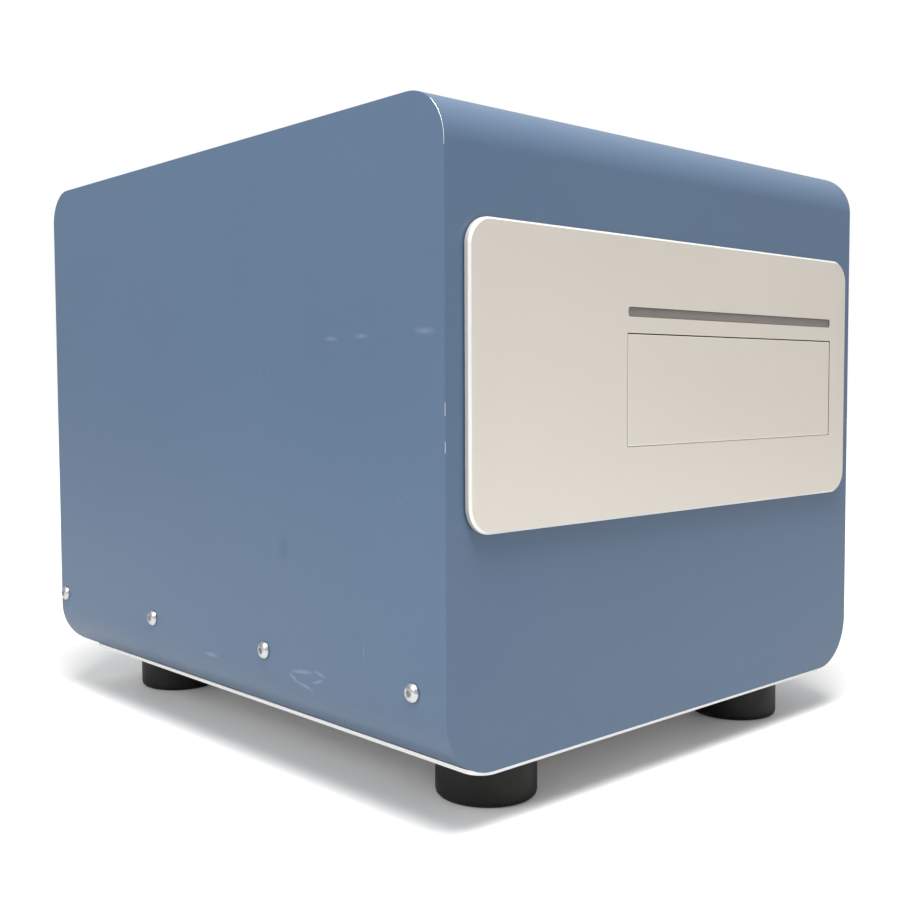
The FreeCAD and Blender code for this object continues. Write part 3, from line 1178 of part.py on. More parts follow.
add(objective, "objective_collar_bar", "XY",
    [polygon("0", "0", "objective_collar", driving["barrel_sides"])],
    "objective_length - slide_height", lift="slide_height")
dress(objective, "Chamfer", "objective_nose", "objective_taper", on_top)
keep(objective, "objective")

# Main board on its standoffs, and the power supply
standoff = new_body("board_standoff")
add(standoff, "standoff_bar", "XY", [hexagon("0", "0", "2 * standoff_radius")], "standoff_height")
board_xs = ("board_left + standoff_inset", "board_left + board_width - standoff_inset")
board_ys = ("board_front + standoff_inset", "board_front + board_length - standoff_inset")
copies("board_standoffs", standoff, [(x, y, "inside_z") for x in board_xs for y in board_ys])
board = new_body("main_board", "board_left", "board_front", "inside_z + standoff_height")
add(board, "board_sheet", "XY", [rectangle("0", "0", "board_width", "board_length")], "board_thickness")


def along_board(count):
    """Evenly spaced places along the board, clear of its ends."""
    return [f"board_length * {i + 1} / ({count} + 1)" for i in range(driving[count])]


add(board, "chips", "XY",
    [centred("board_width / 2", y, "chip_size", "chip_size") for y in along_board("chip_count")],
    "chip_height", lift="board_thickness")
add(board, "sockets", "XY",
    [centred("board_width - 1.5 * standoff_inset", y, "standoff_inset", "socket_width")
     for y in along_board("socket_count")], "socket_height", lift="board_thickness")
add(board, "capacitors", "XY",
    [disc("2 * standoff_inset", y, "capacitor_radius") for y in along_board("capacitor_count")],
    "capacitor_height", lift="board_thickness")
keep(board, "main_board")
supply = new_body("power_supply", "board_left", "supply_front", "inside_z")
add(supply, "supply_case", "XY", [rectangle("0", "0", "supply_width", "supply_length")], "supply_height")
cut(supply, "supply_slots_row", "XY",
    [centred("supply_width / 2", f"({i} + supply_slot_margin) * supply_slot_pitch",
             "supply_width - 2 * supply_slot_side", "supply_slot_width")
     for i in range(driving["supply_slots"])],
    "wall", lift="supply_height")
add(supply, "terminal_step", "XZ",
    [rectangle("wall", "0", "supply_width - wall", "terminal_height")], "terminal_depth")
keep(supply, "power_supply")

# Check every object and sub-part, then write the parts
doc.recompute()
for item in doc.Objects:
    if "Invalid" in item.State or "Error" in item.State:
        raise RuntimeError("%s failed: %s" % (item.Name, item.State))
for item in sub_parts:
    if item.Shape.isNull() or not item.Shape.isValid() or not item.Shape.Solids:
        raise RuntimeError(item.Label + " has no sound solid")
os.makedirs("parts", exist_ok=True)
for item in sub_parts:
    item.Shape.exportStep("parts/%s.step" % item.Label)
    print("%-22s %3d solids %10.0f mm3" % (item.Label, len(item.Shape.Solids), item.Shape.Volume))
print("sub-parts:", len(sub_parts))
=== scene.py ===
# Automated cell counter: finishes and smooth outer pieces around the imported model.
# Metres; +X right, +Y to the rear, +Z up, the feet stand on z = 0.
import json
import math
import bmesh
import bpy
from mathutils import Matrix, Vector


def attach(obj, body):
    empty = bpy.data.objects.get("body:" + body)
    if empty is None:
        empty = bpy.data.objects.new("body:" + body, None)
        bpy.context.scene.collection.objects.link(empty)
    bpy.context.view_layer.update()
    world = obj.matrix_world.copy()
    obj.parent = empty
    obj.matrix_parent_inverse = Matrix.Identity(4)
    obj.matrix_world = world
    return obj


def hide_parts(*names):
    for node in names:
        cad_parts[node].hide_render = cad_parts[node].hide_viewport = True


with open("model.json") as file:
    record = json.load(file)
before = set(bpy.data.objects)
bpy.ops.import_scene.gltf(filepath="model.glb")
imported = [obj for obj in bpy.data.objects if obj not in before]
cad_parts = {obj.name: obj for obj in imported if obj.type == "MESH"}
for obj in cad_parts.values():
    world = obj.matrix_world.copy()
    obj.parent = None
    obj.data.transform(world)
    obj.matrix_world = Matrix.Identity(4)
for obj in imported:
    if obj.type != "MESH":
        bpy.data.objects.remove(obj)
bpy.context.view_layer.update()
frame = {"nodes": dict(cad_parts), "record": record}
scene = bpy.context.scene
print("frame loaded,", len(frame["nodes"]), "nodes")


# Node trees
class Wire:
    # a node's output that can be used in sums
    def __init__(self, maker, socket):
        self.maker = maker
        self.socket = socket

    def sum(self, operation, first, second):
        return self.maker.node("ShaderNodeMath", {"operation": operation}, {0: first, 1: second})

    def __add__(self, other):
        return self.sum("ADD", self, other)

    def __radd__(self, other):
        return self.sum("ADD", other, self)

    def __sub__(self, other):
        return self.sum("SUBTRACT", self, other)

    def __rsub__(self, other):
        return self.sum("SUBTRACT", other, self)

    def __mul__(self, other):
        return self.sum("MULTIPLY", self, other)

    def __rmul__(self, other):
        return self.sum("MULTIPLY", other, self)

    def __truediv__(self, other):
        return self.sum("DIVIDE", self, other)

    def __gt__(self, other):
        return self.sum("GREATER_THAN", self, other)

    def __lt__(self, other):
        return self.sum("LESS_THAN", self, other)

    def __abs__(self):
        return self.sum("ABSOLUTE", self, 0.0)


class NodeMaker:
    # adds nodes to one tree: the settings first, then the values or links of the sockets
    def __init__(self, tree):
        self.tree = tree
        tree.nodes.clear()

    def node(self, kind, settings=None, inputs=None, out=0):
        added = self.tree.nodes.new(kind)
        for name, value in (settings or {}).items():
            if name == "stops":
                self.fillRamp(added.color_ramp, value)
            else:
                setattr(added, name, value)
        for name, value in (inputs or {}).items():
            self.feed(added.inputs[name], value)
        return Wire(self, added.outputs[out]) if added.outputs else None

    def feed(self, socket, value):
        if isinstance(value, Wire):
            self.tree.links.new(value.socket, socket)
        elif isinstance(value, (int, float, str)) or len(value) == len(socket.default_value):
            socket.default_value = value
        else:
            socket.default_value = (*value, 1.0)

    def fillRamp(self, ramp, stops):
        while len(ramp.elements) < len(stops):
            ramp.elements.new(0.5)
        for element, (position, value) in zip(ramp.elements, stops):
            element.position = position
            element.color = (*value, 1.0) if isinstance(value, tuple) else (value, value, value, 1.0)


class Finish(NodeMaker):
    # one material, and the patterns that several finishes use
    def __init__(self, name, seed=0.0):
        self.material = bpy.data.materials.new(name)
        self.material.use_nodes = True
        super().__init__(self.material.node_tree)
        self.shader = self.tree.nodes.new("ShaderNodeBsdfPrincipled")
        self.node("ShaderNodeOutputMaterial", inputs={"Surface": Wire(self, self.shader.outputs[0])})
        self.seed = seed
        self.place = self.node("ShaderNodeTexCoord", out="Object")

    def set(self, **values):
        # Base Color is written baseColor, and so on
        for name, value in values.items():
            words = "".join(" " + c if c.isupper() else c for c in name).title()
            self.feed(self.shader.inputs[words.replace("Ior", "IOR")], value)
        return self

    def part(self, axis):
        return self.node("ShaderNodeSeparateXYZ", inputs={"Vector": self.place}, out=axis)

    def stretched(self, x, y, z):
        return self.node("ShaderNodeMapping", inputs={"Vector": self.place, "Scale": (x, y, z),
                                                      "Location": (self.seed, self.seed * 0.7, 0.0)})

    def noise(self, scale, detail=2.0, rough=0.5, stretch=(1, 1, 1)):
        return self.node("ShaderNodeTexNoise",
                         inputs={"Vector": self.stretched(*stretch), "Scale": scale, "Detail": detail,
                                 "Roughness": rough})

    def ramp(self, value, *stops):
        return self.node("ShaderNodeValToRGB", {"stops": stops}, {"Fac": value})

    def mix(self, share, first, second, blend="MIX"):
        return self.node("ShaderNodeMix", {"data_type": "RGBA", "blend_type": blend},
                         {0: share, 6: first, 7: second}, out=2)

    def bump(self, height, strength, distance):
        return self.node("ShaderNodeBump",
                         inputs={"Height": height, "Strength": strength, "Distance": distance})

    def tint(self, colour, factor):
        # the colour made lighter or darker by a wire
        grey = self.node("ShaderNodeCombineColor", inputs={0: factor, 1: factor, 2: factor})
        return self.mix(1.0, colour, grey, "MULTIPLY")


def shaded(colour, share):
    return tuple(min(1.0, part * share) for part in colour)


# Finishes
paintLook = {
    "colour": (0.086, 0.144, 0.236), "light": (0.225, 0.295, 0.39), "dark": (0.045, 0.07, 0.12),
    "metal": (0.80, 0.82, 0.84), "roughness": 0.40, "coat": 0.14, "coatRoughness": 0.22,
    # sizes of the patterns, and how much flake and nearness a chip needs
    "grain": 900.0, "clouds": 7.0, "mottle": 140.0, "flakes": 700.0, "rubs": 9.0, "chipped": 0.78,
    # marks on the left side: middle (y, z), half width, half height, tilt in degrees, how light
    "markedSide": -0.1715,
    "marks": [
        (-0.1106, 0.2245, 0.0060, 0.0015, 3, 0.7), (-0.1333, 0.2250, 0.0065, 0.0015, 2, 0.7),
        (-0.1775, 0.2258, 0.0080, 0.0020, 3, 0.6), (0.0017, 0.0530, 0.0085, 0.0018, -2, 0.9),
        (-0.0840, 0.0588, 0.0110, 0.0014, -6, 1.0), (-0.0990, 0.0602, 0.0060, 0.0012, 10, 0.9),
        (-0.0765, 0.0545, 0.0050, 0.0014, 30, 1.0), (-0.0860, 0.0518, 0.0085, 0.0013, 10, 1.0),
        (-0.0970, 0.0560, 0.0060, 0.0012, -18, 0.9), (-0.1332, 0.0776, 0.0008, 0.0058, 0, 0.5),
        (-0.160, 0.1500, 0.0040, 0.0005, 30, 0.4), (0.060, 0.1800, 0.0050, 0.0005, -20, 0.3),
    ],
    # the same, how dark
    "smudges": [(-0.069, 0.120, 0.006, 0.009, 0, 0.5), (-0.054, 0.210, 0.0015, 0.0015, 0, 0.9)],
    # where the crisp edges are chipped, and how far round
    "chips": [((-0.1715, -0.1852, 0.3197), 0.009), ((-0.1715, -0.1890, 0.3105), 0.010),
              ((-0.1715, -0.190, 0.1919), 0.0042), ((-0.1715, -0.190, 0.1756), 0.0036),
              ((0.1715, -0.190, 0.120), 0.0030)],
}


def spotMask(f, middle, halfWidth, halfHeight, tilt=0.0, depth=0.004):
    # 1 in the middle of a tilted oval on a side, 0 outside it
    local = f.node("ShaderNodeMapping", {"vector_type": "TEXTURE"},
                   {"Vector": f.place, "Location": middle, "Rotation": (math.radians(tilt), 0.0, 0.0),
                    "Scale": (depth, halfWidth, halfHeight)})
    away = f.node("ShaderNodeVectorMath", {"operation": "LENGTH"}, {0: local}, out="Value")
    return f.node("ShaderNodeMath", {"operation": "SUBTRACT", "use_clamp": True}, {0: 1.0, 1: away})


def spotted(f, spots):
    # the sum of the ovals on the marked side, each at its own strength
    total = 0.0
    for y, z, halfWidth, halfHeight, tilt, strength in spots:
        total = spotMask(f, (paintLook["markedSide"], y, z), halfWidth, halfHeight, tilt) * strength + total
    return total


def paintFinish(name, chips):
    # semi-gloss powder coat: orange peel and soft clouding, with chips (on its rims) or handling marks
    f = Finish(name)
    look = paintLook
    clouds = f.noise(look["clouds"], 3.0, 0.55)
    mottle = f.noise(look["mottle"], 2.0, 0.6)
    shade = 0.945 + clouds * 0.09 + mottle * 0.02
    colour = f.tint(look["colour"], shade)
    flakes = f.noise(look["flakes"], 3.0, 0.7)
    rubs = f.ramp(f.noise(look["rubs"], 2.0, 0.5), (0.0, 0.0), (0.56, 0.0), (0.70, 1.0), (1.0, 1.0))
    if chips:
        near = 0.0
        for middle, reach in look["chips"]:
            near = spotMask(f, middle, reach, reach, depth=reach) + near
        worn = (flakes + near * 0.9) > look["chipped"]
        colour = f.mix(worn, colour, look["metal"])
        f.set(metallic=worn * 0.9)
    else:
        broken = f.ramp(flakes, (0.0, 0.3), (0.40, 0.5), (0.58, 1.0), (1.0, 1.0))
        colour = f.mix(spotted(f, look["marks"]) * broken, colour, look["light"])
        colour = f.mix(spotted(f, look["smudges"]) * 0.7, colour, look["dark"])
    peel = f.noise(look["grain"], 2.0, 0.6)
    rough = look["roughness"] + clouds * 0.10 + rubs * 0.05
    bump = f.bump(peel, 0.20, 0.00012)
    f.set(baseColor=colour, roughness=rough, normal=bump, coatWeight=look["coat"] + clouds * 0.1,
          coatRoughness=look["coatRoughness"])
    return f.material


def metalFinish(name, colour, roughness=0.3, grain=(1, 1, 1), scale=300.0, depth=0.25, metallic=1.0):
    # grain is stretched where its numbers are small
    f = Finish(name, seed=len(name) * 0.13)
    lines = f.noise(scale, 3.0, 0.6, grain)
    stains = f.noise(28.0, 3.0, 0.6)
    shade = 0.90 + lines * 0.12 + stains * 0.08
    rough = roughness - 0.06 + lines * 0.14 + stains * 0.06
    f.set(baseColor=f.tint(colour, shade), roughness=rough, metallic=metallic,
          normal=f.bump(lines, depth, 0.00008))
    return f.material


def plasticFinish(name, colour, roughness=0.5, scale=1600.0, depth=0.2, wear=(1.5, 1.5, 1.5)):
    # moulded: spark-eroded texture, with a faint polish where it is handled
    f = Finish(name, seed=len(name) * 0.17)
    grit = f.noise(scale, 2.0, 0.6)
    patches = f.noise(36.0, 3.0, 0.6)
    shade = 0.92 + patches * 0.16
    light = f.mix(f.ramp(patches, (0.0, 0.0), (0.58, 0.0), (0.75, 0.35), (1.0, 0.35)), colour,
                  tuple(min(1.0, c * w + 0.01) for c, w in zip(colour, wear)))
    f.set(baseColor=f.tint(light, shade), roughness=roughness - 0.06 + patches * 0.12,
          normal=f.bump(grit, depth, 0.00006))
    return f.material


plateLook = {"colour": (0.815, 0.760, 0.695), "roughness": 0.42, "grain": 2400.0}


def anodisedFinish(name):
    # champagne anodising over a fine blast: tiny sparkle and slow patches
    f = Finish(name, seed=1.7)
    look = plateLook
    blast = f.noise(look["grain"], 2.0, 0.7)
    slow = f.noise(9.0, 2.0, 0.5)
    shade = 0.955 + blast * 0.05 + slow * 0.04
    warm = f.mix(f.noise(5.0, 1.0), look["colour"], shaded(look["colour"], 1.03))
    f.set(baseColor=f.tint(warm, shade), metallic=0.55, roughness=look["roughness"] + slow * 0.08,
          normal=f.bump(blast, 0.12, 0.00005))
    return f.material


def rubberFinish(name, colour=(0.009, 0.008, 0.0075)):
    # moulded rubber: dull, dusty in patches, with a fine moulding grain
    f = Finish(name, seed=0.4)
    grit = f.noise(1100.0, 3.0, 0.7)
    dust = f.noise(60.0, 4.0, 0.65)
    grey = f.mix(f.ramp(dust, (0.0, 0.0), (0.55, 0.0), (0.8, 0.16), (1.0, 0.2)), colour,
                 (0.07, 0.066, 0.060))
    f.set(baseColor=grey, roughness=0.34 + dust * 0.25, specularIorLevel=0.32,
          normal=f.bump(grit, 0.3, 0.0001))
    return f.material


def boardFinish(name):
    # solder mask over copper tracks
    f = Finish(name, seed=2.3)
    cells = f.node("ShaderNodeTexBrick", {"offset": 0.5, "squash": 1.0},
                   {"Vector": f.place, "Scale": 180.0, "Mortar Size": 0.03,
                    "Color1": (0.018, 0.125, 0.045), "Color2": (0.025, 0.15, 0.055),
                    "Mortar": (0.05, 0.24, 0.09)})
    pads = f.node("ShaderNodeTexVoronoi", {"feature": "DISTANCE_TO_EDGE"},
                  {"Vector": f.place, "Scale": 130.0})
    colour = f.mix(pads < 0.035, cells, (0.06, 0.27, 0.10))
    f.set(baseColor=colour, roughness=0.32 + f.noise(80.0) * 0.1, normal=f.bump(pads, 0.25, 0.0001))
    return f.material


def glassFinish(name, colour):
    f = Finish(name, seed=3.1)
    sweep = f.noise(60.0, 2.0)
    f.set(baseColor=f.tint(colour, 0.9 + sweep * 0.2), roughness=0.05 + sweep * 0.05, alpha=0.45)
    return f.material


# the colour at the bar's ends is a little darker, as painted shade
pipeLook = {"middle": 0.045, "half": 0.0964, "colour": (0.225, 0.205, 0.190), "ends": (0.215, 0.190, 0.180)}


def lightPipeFinish(name):
    # frosted bar, with painted shade towards both ends
    f = Finish(name, seed=0.9)
    spread = abs(f.part("X") - pipeLook["middle"]) / pipeLook["half"]
    streak = f.noise(700.0, 2.0, 0.6, (0.15, 1.0, 1.0))
    colour = f.mix(f.ramp(spread, (0.0, 0.0), (0.35, 0.1), (0.9, 0.8), (1.0, 1.0)),
                   pipeLook["colour"], pipeLook["ends"])
    f.set(baseColor=f.tint(colour, 0.85 + streak * 0.3), roughness=0.30 + streak * 0.12)
    return f.material


finishes = {
    "hood_paint": paintFinish("semiGlossPaint", chips=False),
    "front_anodised": anodisedFinish("champagneAnodised"),
    "bare_aluminium": metalFinish("brushedAluminium", (0.80, 0.80, 0.81), 0.30, (0.04, 1, 1)),
    "machined_aluminium": metalFinish("milledAluminium", (0.74, 0.75, 0.76), 0.28, (1, 0.06, 1), 500.0),
    "black_anodised": plasticFinish("blackAnodised", (0.026, 0.026, 0.029), 0.36, 2200.0, 0.15),
    "zinc_sheet": metalFinish("zincSheet", (0.60, 0.61, 0.60), 0.36, (1, 1, 0.5), 130.0, 0.15),
    "screw_steel": metalFinish("screwSteel", (0.66, 0.66, 0.67), 0.26, scale=1800.0),
    "ground_steel": metalFinish("groundSteel", (0.70, 0.70, 0.72), 0.16, (0.5, 0.5, 1), 900.0),
    "spring_steel": metalFinish("springSteel", (0.45, 0.45, 0.47), 0.28, scale=1500.0),
    "foot_rubber": rubberFinish("footRubber"),
    "gasket_rubber": rubberFinish("foamStrip", (0.02, 0.02, 0.021)),
    "light_pipe": lightPipeFinish("frostedBar"),
    "black_plastic": plasticFinish("blackPlastic", (0.022, 0.022, 0.023), 0.45),
    "rocker_plastic": plasticFinish("rockerPlastic", (0.018, 0.018, 0.019), 0.22, depth=0.05),
    "nut_plastic": plasticFinish("acetal", (0.78, 0.76, 0.70), 0.35, wear=(0.95, 0.93, 0.9)),
    "motor_black": plasticFinish("motorLacquer", (0.030, 0.030, 0.032), 0.30, 900.0),
    "diffuser": plasticFinish("opalSheet", (0.86, 0.86, 0.83), 0.30, wear=(1.05, 1.05, 1.05)),
    "filter_glass": glassFinish("filterGlass", (0.78, 0.56, 0.20)),
    "satin_chrome": metalFinish("satinChrome", (0.72, 0.72, 0.74), 0.20, (1, 1, 0.1), 800.0),
    "brass": metalFinish("turnedBrass", (0.74, 0.53, 0.22), 0.24, (1, 1, 0.2), 900.0),
    "board_green": boardFinish("circuitBoard"),
}
wornRim = paintFinish("wornPaintRim", chips=True)
brightRim = metalFinish("brightRim", (0.93, 0.92, 0.90), 0.36, (1, 1, 1), 900.0, 0.1, 0.5)
# painted shade: a dark finish on the walls inside the door gap and slot, standing in for the shade there
cutWall = metalFinish("cutWall", (0.20, 0.185, 0.17), 0.45, (1, 0.1, 1), 600.0, 0.2, 0.6)
slotOf = {entry["node"]: entry["material_slot"] for entry in frame["record"]["subparts"]}
for nodeName, nodeObject in frame["nodes"].items():
    nodeObject.data.materials.clear()
    nodeObject.data.materials.append(finishes[slotOf[nodeName]])
print("finishes on", len(frame["nodes"]), "nodes")


# Building tools
def meshObject(name, mesh, *materials):
    thing = bpy.data.objects.new(name, mesh)
    scene.collection.objects.link(thing)
    for material in materials:
        thing.data.materials.append(material)
    return thing


def fromBmesh(name, bm, *materials):
    bmesh.ops.recalc_face_normals(bm, faces=bm.faces)
    mesh = bpy.data.meshes.new(name)
    bm.to_mesh(mesh)
    bm.free()
    return meshObject(name, mesh, *materials)


def plain(thing):
    # modifiers become plain mesh
    depsgraph = bpy.context.evaluated_depsgraph_get()
    mesh = bpy.data.meshes.new_from_object(thing.evaluated_get(depsgraph))
    thing.modifiers.clear()
    thing.data = mesh
    return mesh


def baked(thing, sharp=35.0):
    # smooth up to the sharp angle, with the broad flat faces kept flat
    mesh = plain(thing)
    mesh.shade_smooth()
    mesh.set_sharp_from_angle(angle=math.radians(sharp))
    flats = thing.modifiers.new("flats", "WEIGHTED_NORMAL")
    flats.weight = 100
    flats.keep_sharp = True
    bpy.context.view_layer.update()
    plain(thing)
    return thing


def carve(thing, *tools):
    for tool in tools:
        modifier = thing.modifiers.new("carve", "BOOLEAN")
        modifier.operation = "DIFFERENCE"
        modifier.solver = "EXACT"
        modifier.object = tool
    bpy.context.view_layer.update()
    baked(thing)
    for tool in tools:
        bpy.data.objects.remove(tool)
    return thing


def soften(thing, width, segments=3, rim=0, angle=38.0):
    # rounds what is still crisp; rim is the material slot of the rounding
    modifier = thing.modifiers.new("soften", "BEVEL")
    modifier.width = width
    modifier.segments = segments
    modifier.limit_method = "ANGLE"
    modifier.angle_limit = math.radians(angle)
    modifier.material = rim
    modifier.harden_normals = False
    return baked(thing)


def boxTool(low, high):
    bm = bmesh.new()
    bmesh.ops.create_cube(bm, size=1.0)
    for v in bm.verts:
        v.co = Vector([low[i] if v.co[i] < 0 else high[i] for i in range(3)])
    return fromBmesh("tool", bm)


def aimed(centre, axis):
    # turns +Z to the axis and moves the origin to the centre
    turn = Vector((0, 0, 1)).rotation_difference(Vector(axis))
    return Matrix.Translation(centre) @ turn.to_matrix().to_4x4()


def rodTool(centre, axis, radius, length, sides=48):
    bm = bmesh.new()
    bmesh.ops.create_cone(bm, cap_ends=True, segments=sides, radius1=radius, radius2=radius, depth=length,
                          matrix=aimed(centre, axis))
    return fromBmesh("tool", bm)


def placed(thing, centre, axis=(0, 1, 0)):
    thing.data.transform(aimed(centre, axis))
    return thing


def gathered(name, things, *materials):
    # several closed shells as one mesh
    bm = bmesh.new()
    for thing in things:
        bm.from_mesh(thing.data)
        bpy.data.objects.remove(thing)
    mesh = bpy.data.meshes.new(name)
    bm.to_mesh(mesh)
    bm.free()
    return baked(meshObject(name, mesh, *materials))


def standsFor(thing, node, body="root"):
    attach(thing, body)
    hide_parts(node)
    print(thing.name + ":", len(thing.data.polygons), "faces")


def loft(name, rings, *materials):
    # closed rings of equal count joined in order, with both ends capped
    bm = bmesh.new()
    rows = [[bm.verts.new(point) for point in ring] for ring in rings]
    count = len(rows[0])
    for low, high in zip(rows, rows[1:]):
        for i in range(count):
            j = (i + 1) % count
            bm.faces.new((low[i], low[j], high[j], high[i]))
    bm.faces.new(rows[0][::-1])
    bm.faces.new(rows[-1])
    bmesh.ops.remove_doubles(bm, verts=bm.verts, dist=1e-6)
    return fromBmesh(name, bm, *materials)


def bentBlock(name, half, low, high, front, rear, sideBend, frontBend, rearBend, *materials):
    # a block with bent edges, stacked from level rectangles
    turns = [math.radians(90 * i / bendLook["steps"]) for i in range(bendLook["steps"] + 1)]
    levels = []
    for angle in turns:
        levels.append((low + sideBend * (1 - math.cos(angle)), half - sideBend * (1 - math.sin(angle)),
                       front, rear))
    for angle in turns:
        rise, run = math.sin(angle), 1 - math.cos(angle)
        larger = max(frontBend, rearBend)
        z = high - larger + larger * rise
        levels.append((z, half, front + bendRun(z, high, frontBend), rear - bendRun(z, high, rearBend)))
    rings = [[(-wide, near, z), (wide, near, z), (wide, far, z), (-wide, far, z)]
             for z, wide, near, far in levels]
    return loft(name, rings, *materials)


def bendRun(z, high, bend):
    # how far a top bend has turned inwards at this height
    rise = z - (high - bend)
    if bend <= 0 or rise <= 0:
        return 0.0
    return bend - math.sqrt(max(0.0, bend * bend - rise * rise))


def roundedRing(middle, half, low, high, corner, y, steps):
    # a rounded rectangle that faces the front, anticlockwise seen from the front
    ring = []
    for quarter, (side, top) in enumerate(((1, 0), (1, 1), (-1, 1), (-1, 0))):
        centreX = middle + side * (half - corner)
        centreZ = high - corner if top else low + corner
        for i in range(steps + 1):
            angle = math.radians(90 * (quarter - 1) + 90 * i / steps)
            ring.append((centreX + corner * math.cos(angle), y, centreZ + corner * math.sin(angle)))
    return ring


def lathe(name, profile, sides, *materials):
    # profile of (radius, height), closed, turned about Z; radius 0 closes the ends
    bm = bmesh.new()
    rings = []
    for radius, height in profile:
        if radius < 1e-7:
            rings.append([bm.verts.new((0, 0, height))])
        else:
            rings.append([bm.verts.new((radius * math.cos(math.tau * i / sides),
                                        radius * math.sin(math.tau * i / sides), height))
                          for i in range(sides)])
    for first, second in zip(rings, rings[1:] + rings[:1]):
        for i in range(sides):
            corners = [first[i % len(first)], first[(i + 1) % len(first)], second[(i + 1) % len(second)],
                       second[i % len(second)]]
            unique = list(dict.fromkeys(corners))
            if len(unique) > 2:
                bm.faces.new(unique)
    return fromBmesh(name, bm, *materials)


def repeatTree():
    # geometry nodes: the master on every point, turned to the point's own aim
    group = bpy.data.node_groups.new("repeatAtPoints", "GeometryNodeTree")
    for name, kind in (("Geometry", "Geometry"), ("Master", "Object"), ("Size", "Float"),
                       ("Finish", "Material")):
        group.interface.new_socket(name, in_out="INPUT", socket_type="NodeSocket" + kind)
    group.interface.new_socket("Geometry", in_out="OUTPUT", socket_type="NodeSocketGeometry")
    g = NodeMaker(group)
    given = {name: g.node("NodeGroupInput", out=name) for name in ("Geometry", "Master", "Size", "Finish")}
    points = g.node("GeometryNodeMeshToPoints", inputs={"Mesh": given["Geometry"]})
    master = g.node("GeometryNodeObjectInfo", inputs={"Object": given["Master"]}, out="Geometry")
    aim = g.node("GeometryNodeInputNamedAttribute", {"data_type": "FLOAT_VECTOR"}, {"Name": "aim"})
    turn = g.node("FunctionNodeAlignRotationToVector", {"axis": "Z"}, {"Vector": aim})
    copies = g.node("GeometryNodeInstanceOnPoints",
                    inputs={"Points": points, "Instance": master, "Rotation": turn, "Scale": given["Size"]})
    real = g.node("GeometryNodeRealizeInstances", inputs={0: copies})
    painted = g.node("GeometryNodeSetMaterial", inputs={"Geometry": real, "Material": given["Finish"]})
    g.node("NodeGroupOutput", inputs={"Geometry": painted})
    return group


repeatAtPoints = repeatTree()


def repeated(name, master, spots, finish, size=1.0):
    # spots are (place, aim) pairs; the result is one plain mesh
    mesh = bpy.data.meshes.new(name)
    mesh.from_pydata([place for place, aim in spots], [], [])
    attribute = mesh.attributes.new("aim", "FLOAT_VECTOR", "POINT")
    attribute.data.foreach_set("vector", [part for place, aim in spots for part in aim])
    thing = meshObject(name, mesh)
    modifier = thing.modifiers.new("repeat", "NODES")
    modifier.node_group = repeatAtPoints
    wanted = {"Master": master, "Size": size, "Finish": finish}
    for item in repeatAtPoints.interface.items_tree:
        if item.in_out == "INPUT" and item.name in wanted:
            modifier[item.identifier] = wanted[item.name]
    bpy.context.view_layer.update()
    baked(thing)
    bpy.data.objects.remove(master)
    return thing


# Hood
bendLook = {"steps": 14}
hood = {
    "half": 0.1715, "low": 0.0274, "high": 0.3304, "front": -0.190, "rear": 0.190, "wall": 0.002,
    "frontBend": 0.024, "rearBend": 0.020, "sideBend": 0.029, "rim": 0.0007,
    "window": (-0.064, 0.154, 0.1554, 0.2472), "lip": 0.050, "lipFront": 0.020,
    "screwRows": (-0.1678, -0.0508, 0.0662, 0.1832), "screwRise": 0.0644, "hole": 0.00275,
    "footX": 0.1082, "footRows": (-0.151, 0.145), "acrossBoth": 0.4, "throughFloor": 0.01, "crisp": 0.0001,
}
wall = hood["wall"]
shell = bentBlock("hoodShell", hood["half"], hood["low"], hood["high"], hood["front"], hood["rear"],
                  hood["sideBend"], hood["frontBend"], hood["rearBend"], finishes["hood_paint"], wornRim)
inside = bentBlock("tool", hood["half"] - wall, hood["low"] + wall, hood["high"] - wall,
                   hood["front"] + wall, hood["rear"] - wall, hood["sideBend"] - wall,
                   hood["frontBend"] - wall, hood["rearBend"] - wall)
mouth = bentBlock("tool", hood["half"] - wall, hood["low"] + wall, hood["high"] - hood["rearBend"],
                  hood["rear"] - 2 * wall, hood["rear"] + wall, hood["sideBend"] - wall,
                  hood["crisp"], hood["crisp"])
left, right, low, high = hood["window"]
window = boxTool((left, hood["front"] - wall, low), (right, hood["front"] + 2 * wall, high))
lipEdge = hood["half"] - hood["sideBend"] - hood["lip"]
underside = boxTool((-lipEdge, hood["front"] + hood["lipFront"], hood["low"] - wall),
                    (lipEdge, hood["rear"] + wall, hood["low"] + 2 * wall))
holes = [rodTool((0, row, hood["screwRise"]), (1, 0, 0), hood["hole"], hood["acrossBoth"])
         for row in hood["screwRows"]]
holes += [rodTool((side * hood["footX"], row, hood["low"]), (0, 0, 1), hood["hole"], hood["throughFloor"])
          for side in (-1, 1) for row in hood["footRows"]]
soften(shell, hood["rim"], rim=1)
carve(shell, inside, mouth, window, underside, *holes)
standsFor(shell, "hood")


# Front plate and flap
plate = {
    "half": 0.1605, "low": 0.1359, "height": 0.1395, "back": -0.1908, "face": -0.194, "corner": 0.013,
    "chamfer": 0.0011, "steps": 12, "doorLeft": -0.052, "doorRight": 0.142, "doorLow": 0.1714,
    "doorHigh": 0.2274, "slot": (-0.0514, 0.1414, 0.2354, 0.2402), "slotCorner": 0.0014,
    "slotSteps": 6, "rim": 0.00025, "hinge": (-0.1893, 0.1774), "sill": 0.008, "sillWidth": 0.194,
    "sillSides": 96, "through": 0.002, "margin": (0.010, 0.020),
    # how squarely a face looks to the front: less is a wall, more is the face itself
    "facing": (0.3, 0.95),
}


def plateRing(inset, y):
    return roundedRing(0.0, plate["half"] - inset, plate["low"] + inset, plateTop - inset,
                       plate["corner"] - inset, y, plate["steps"])


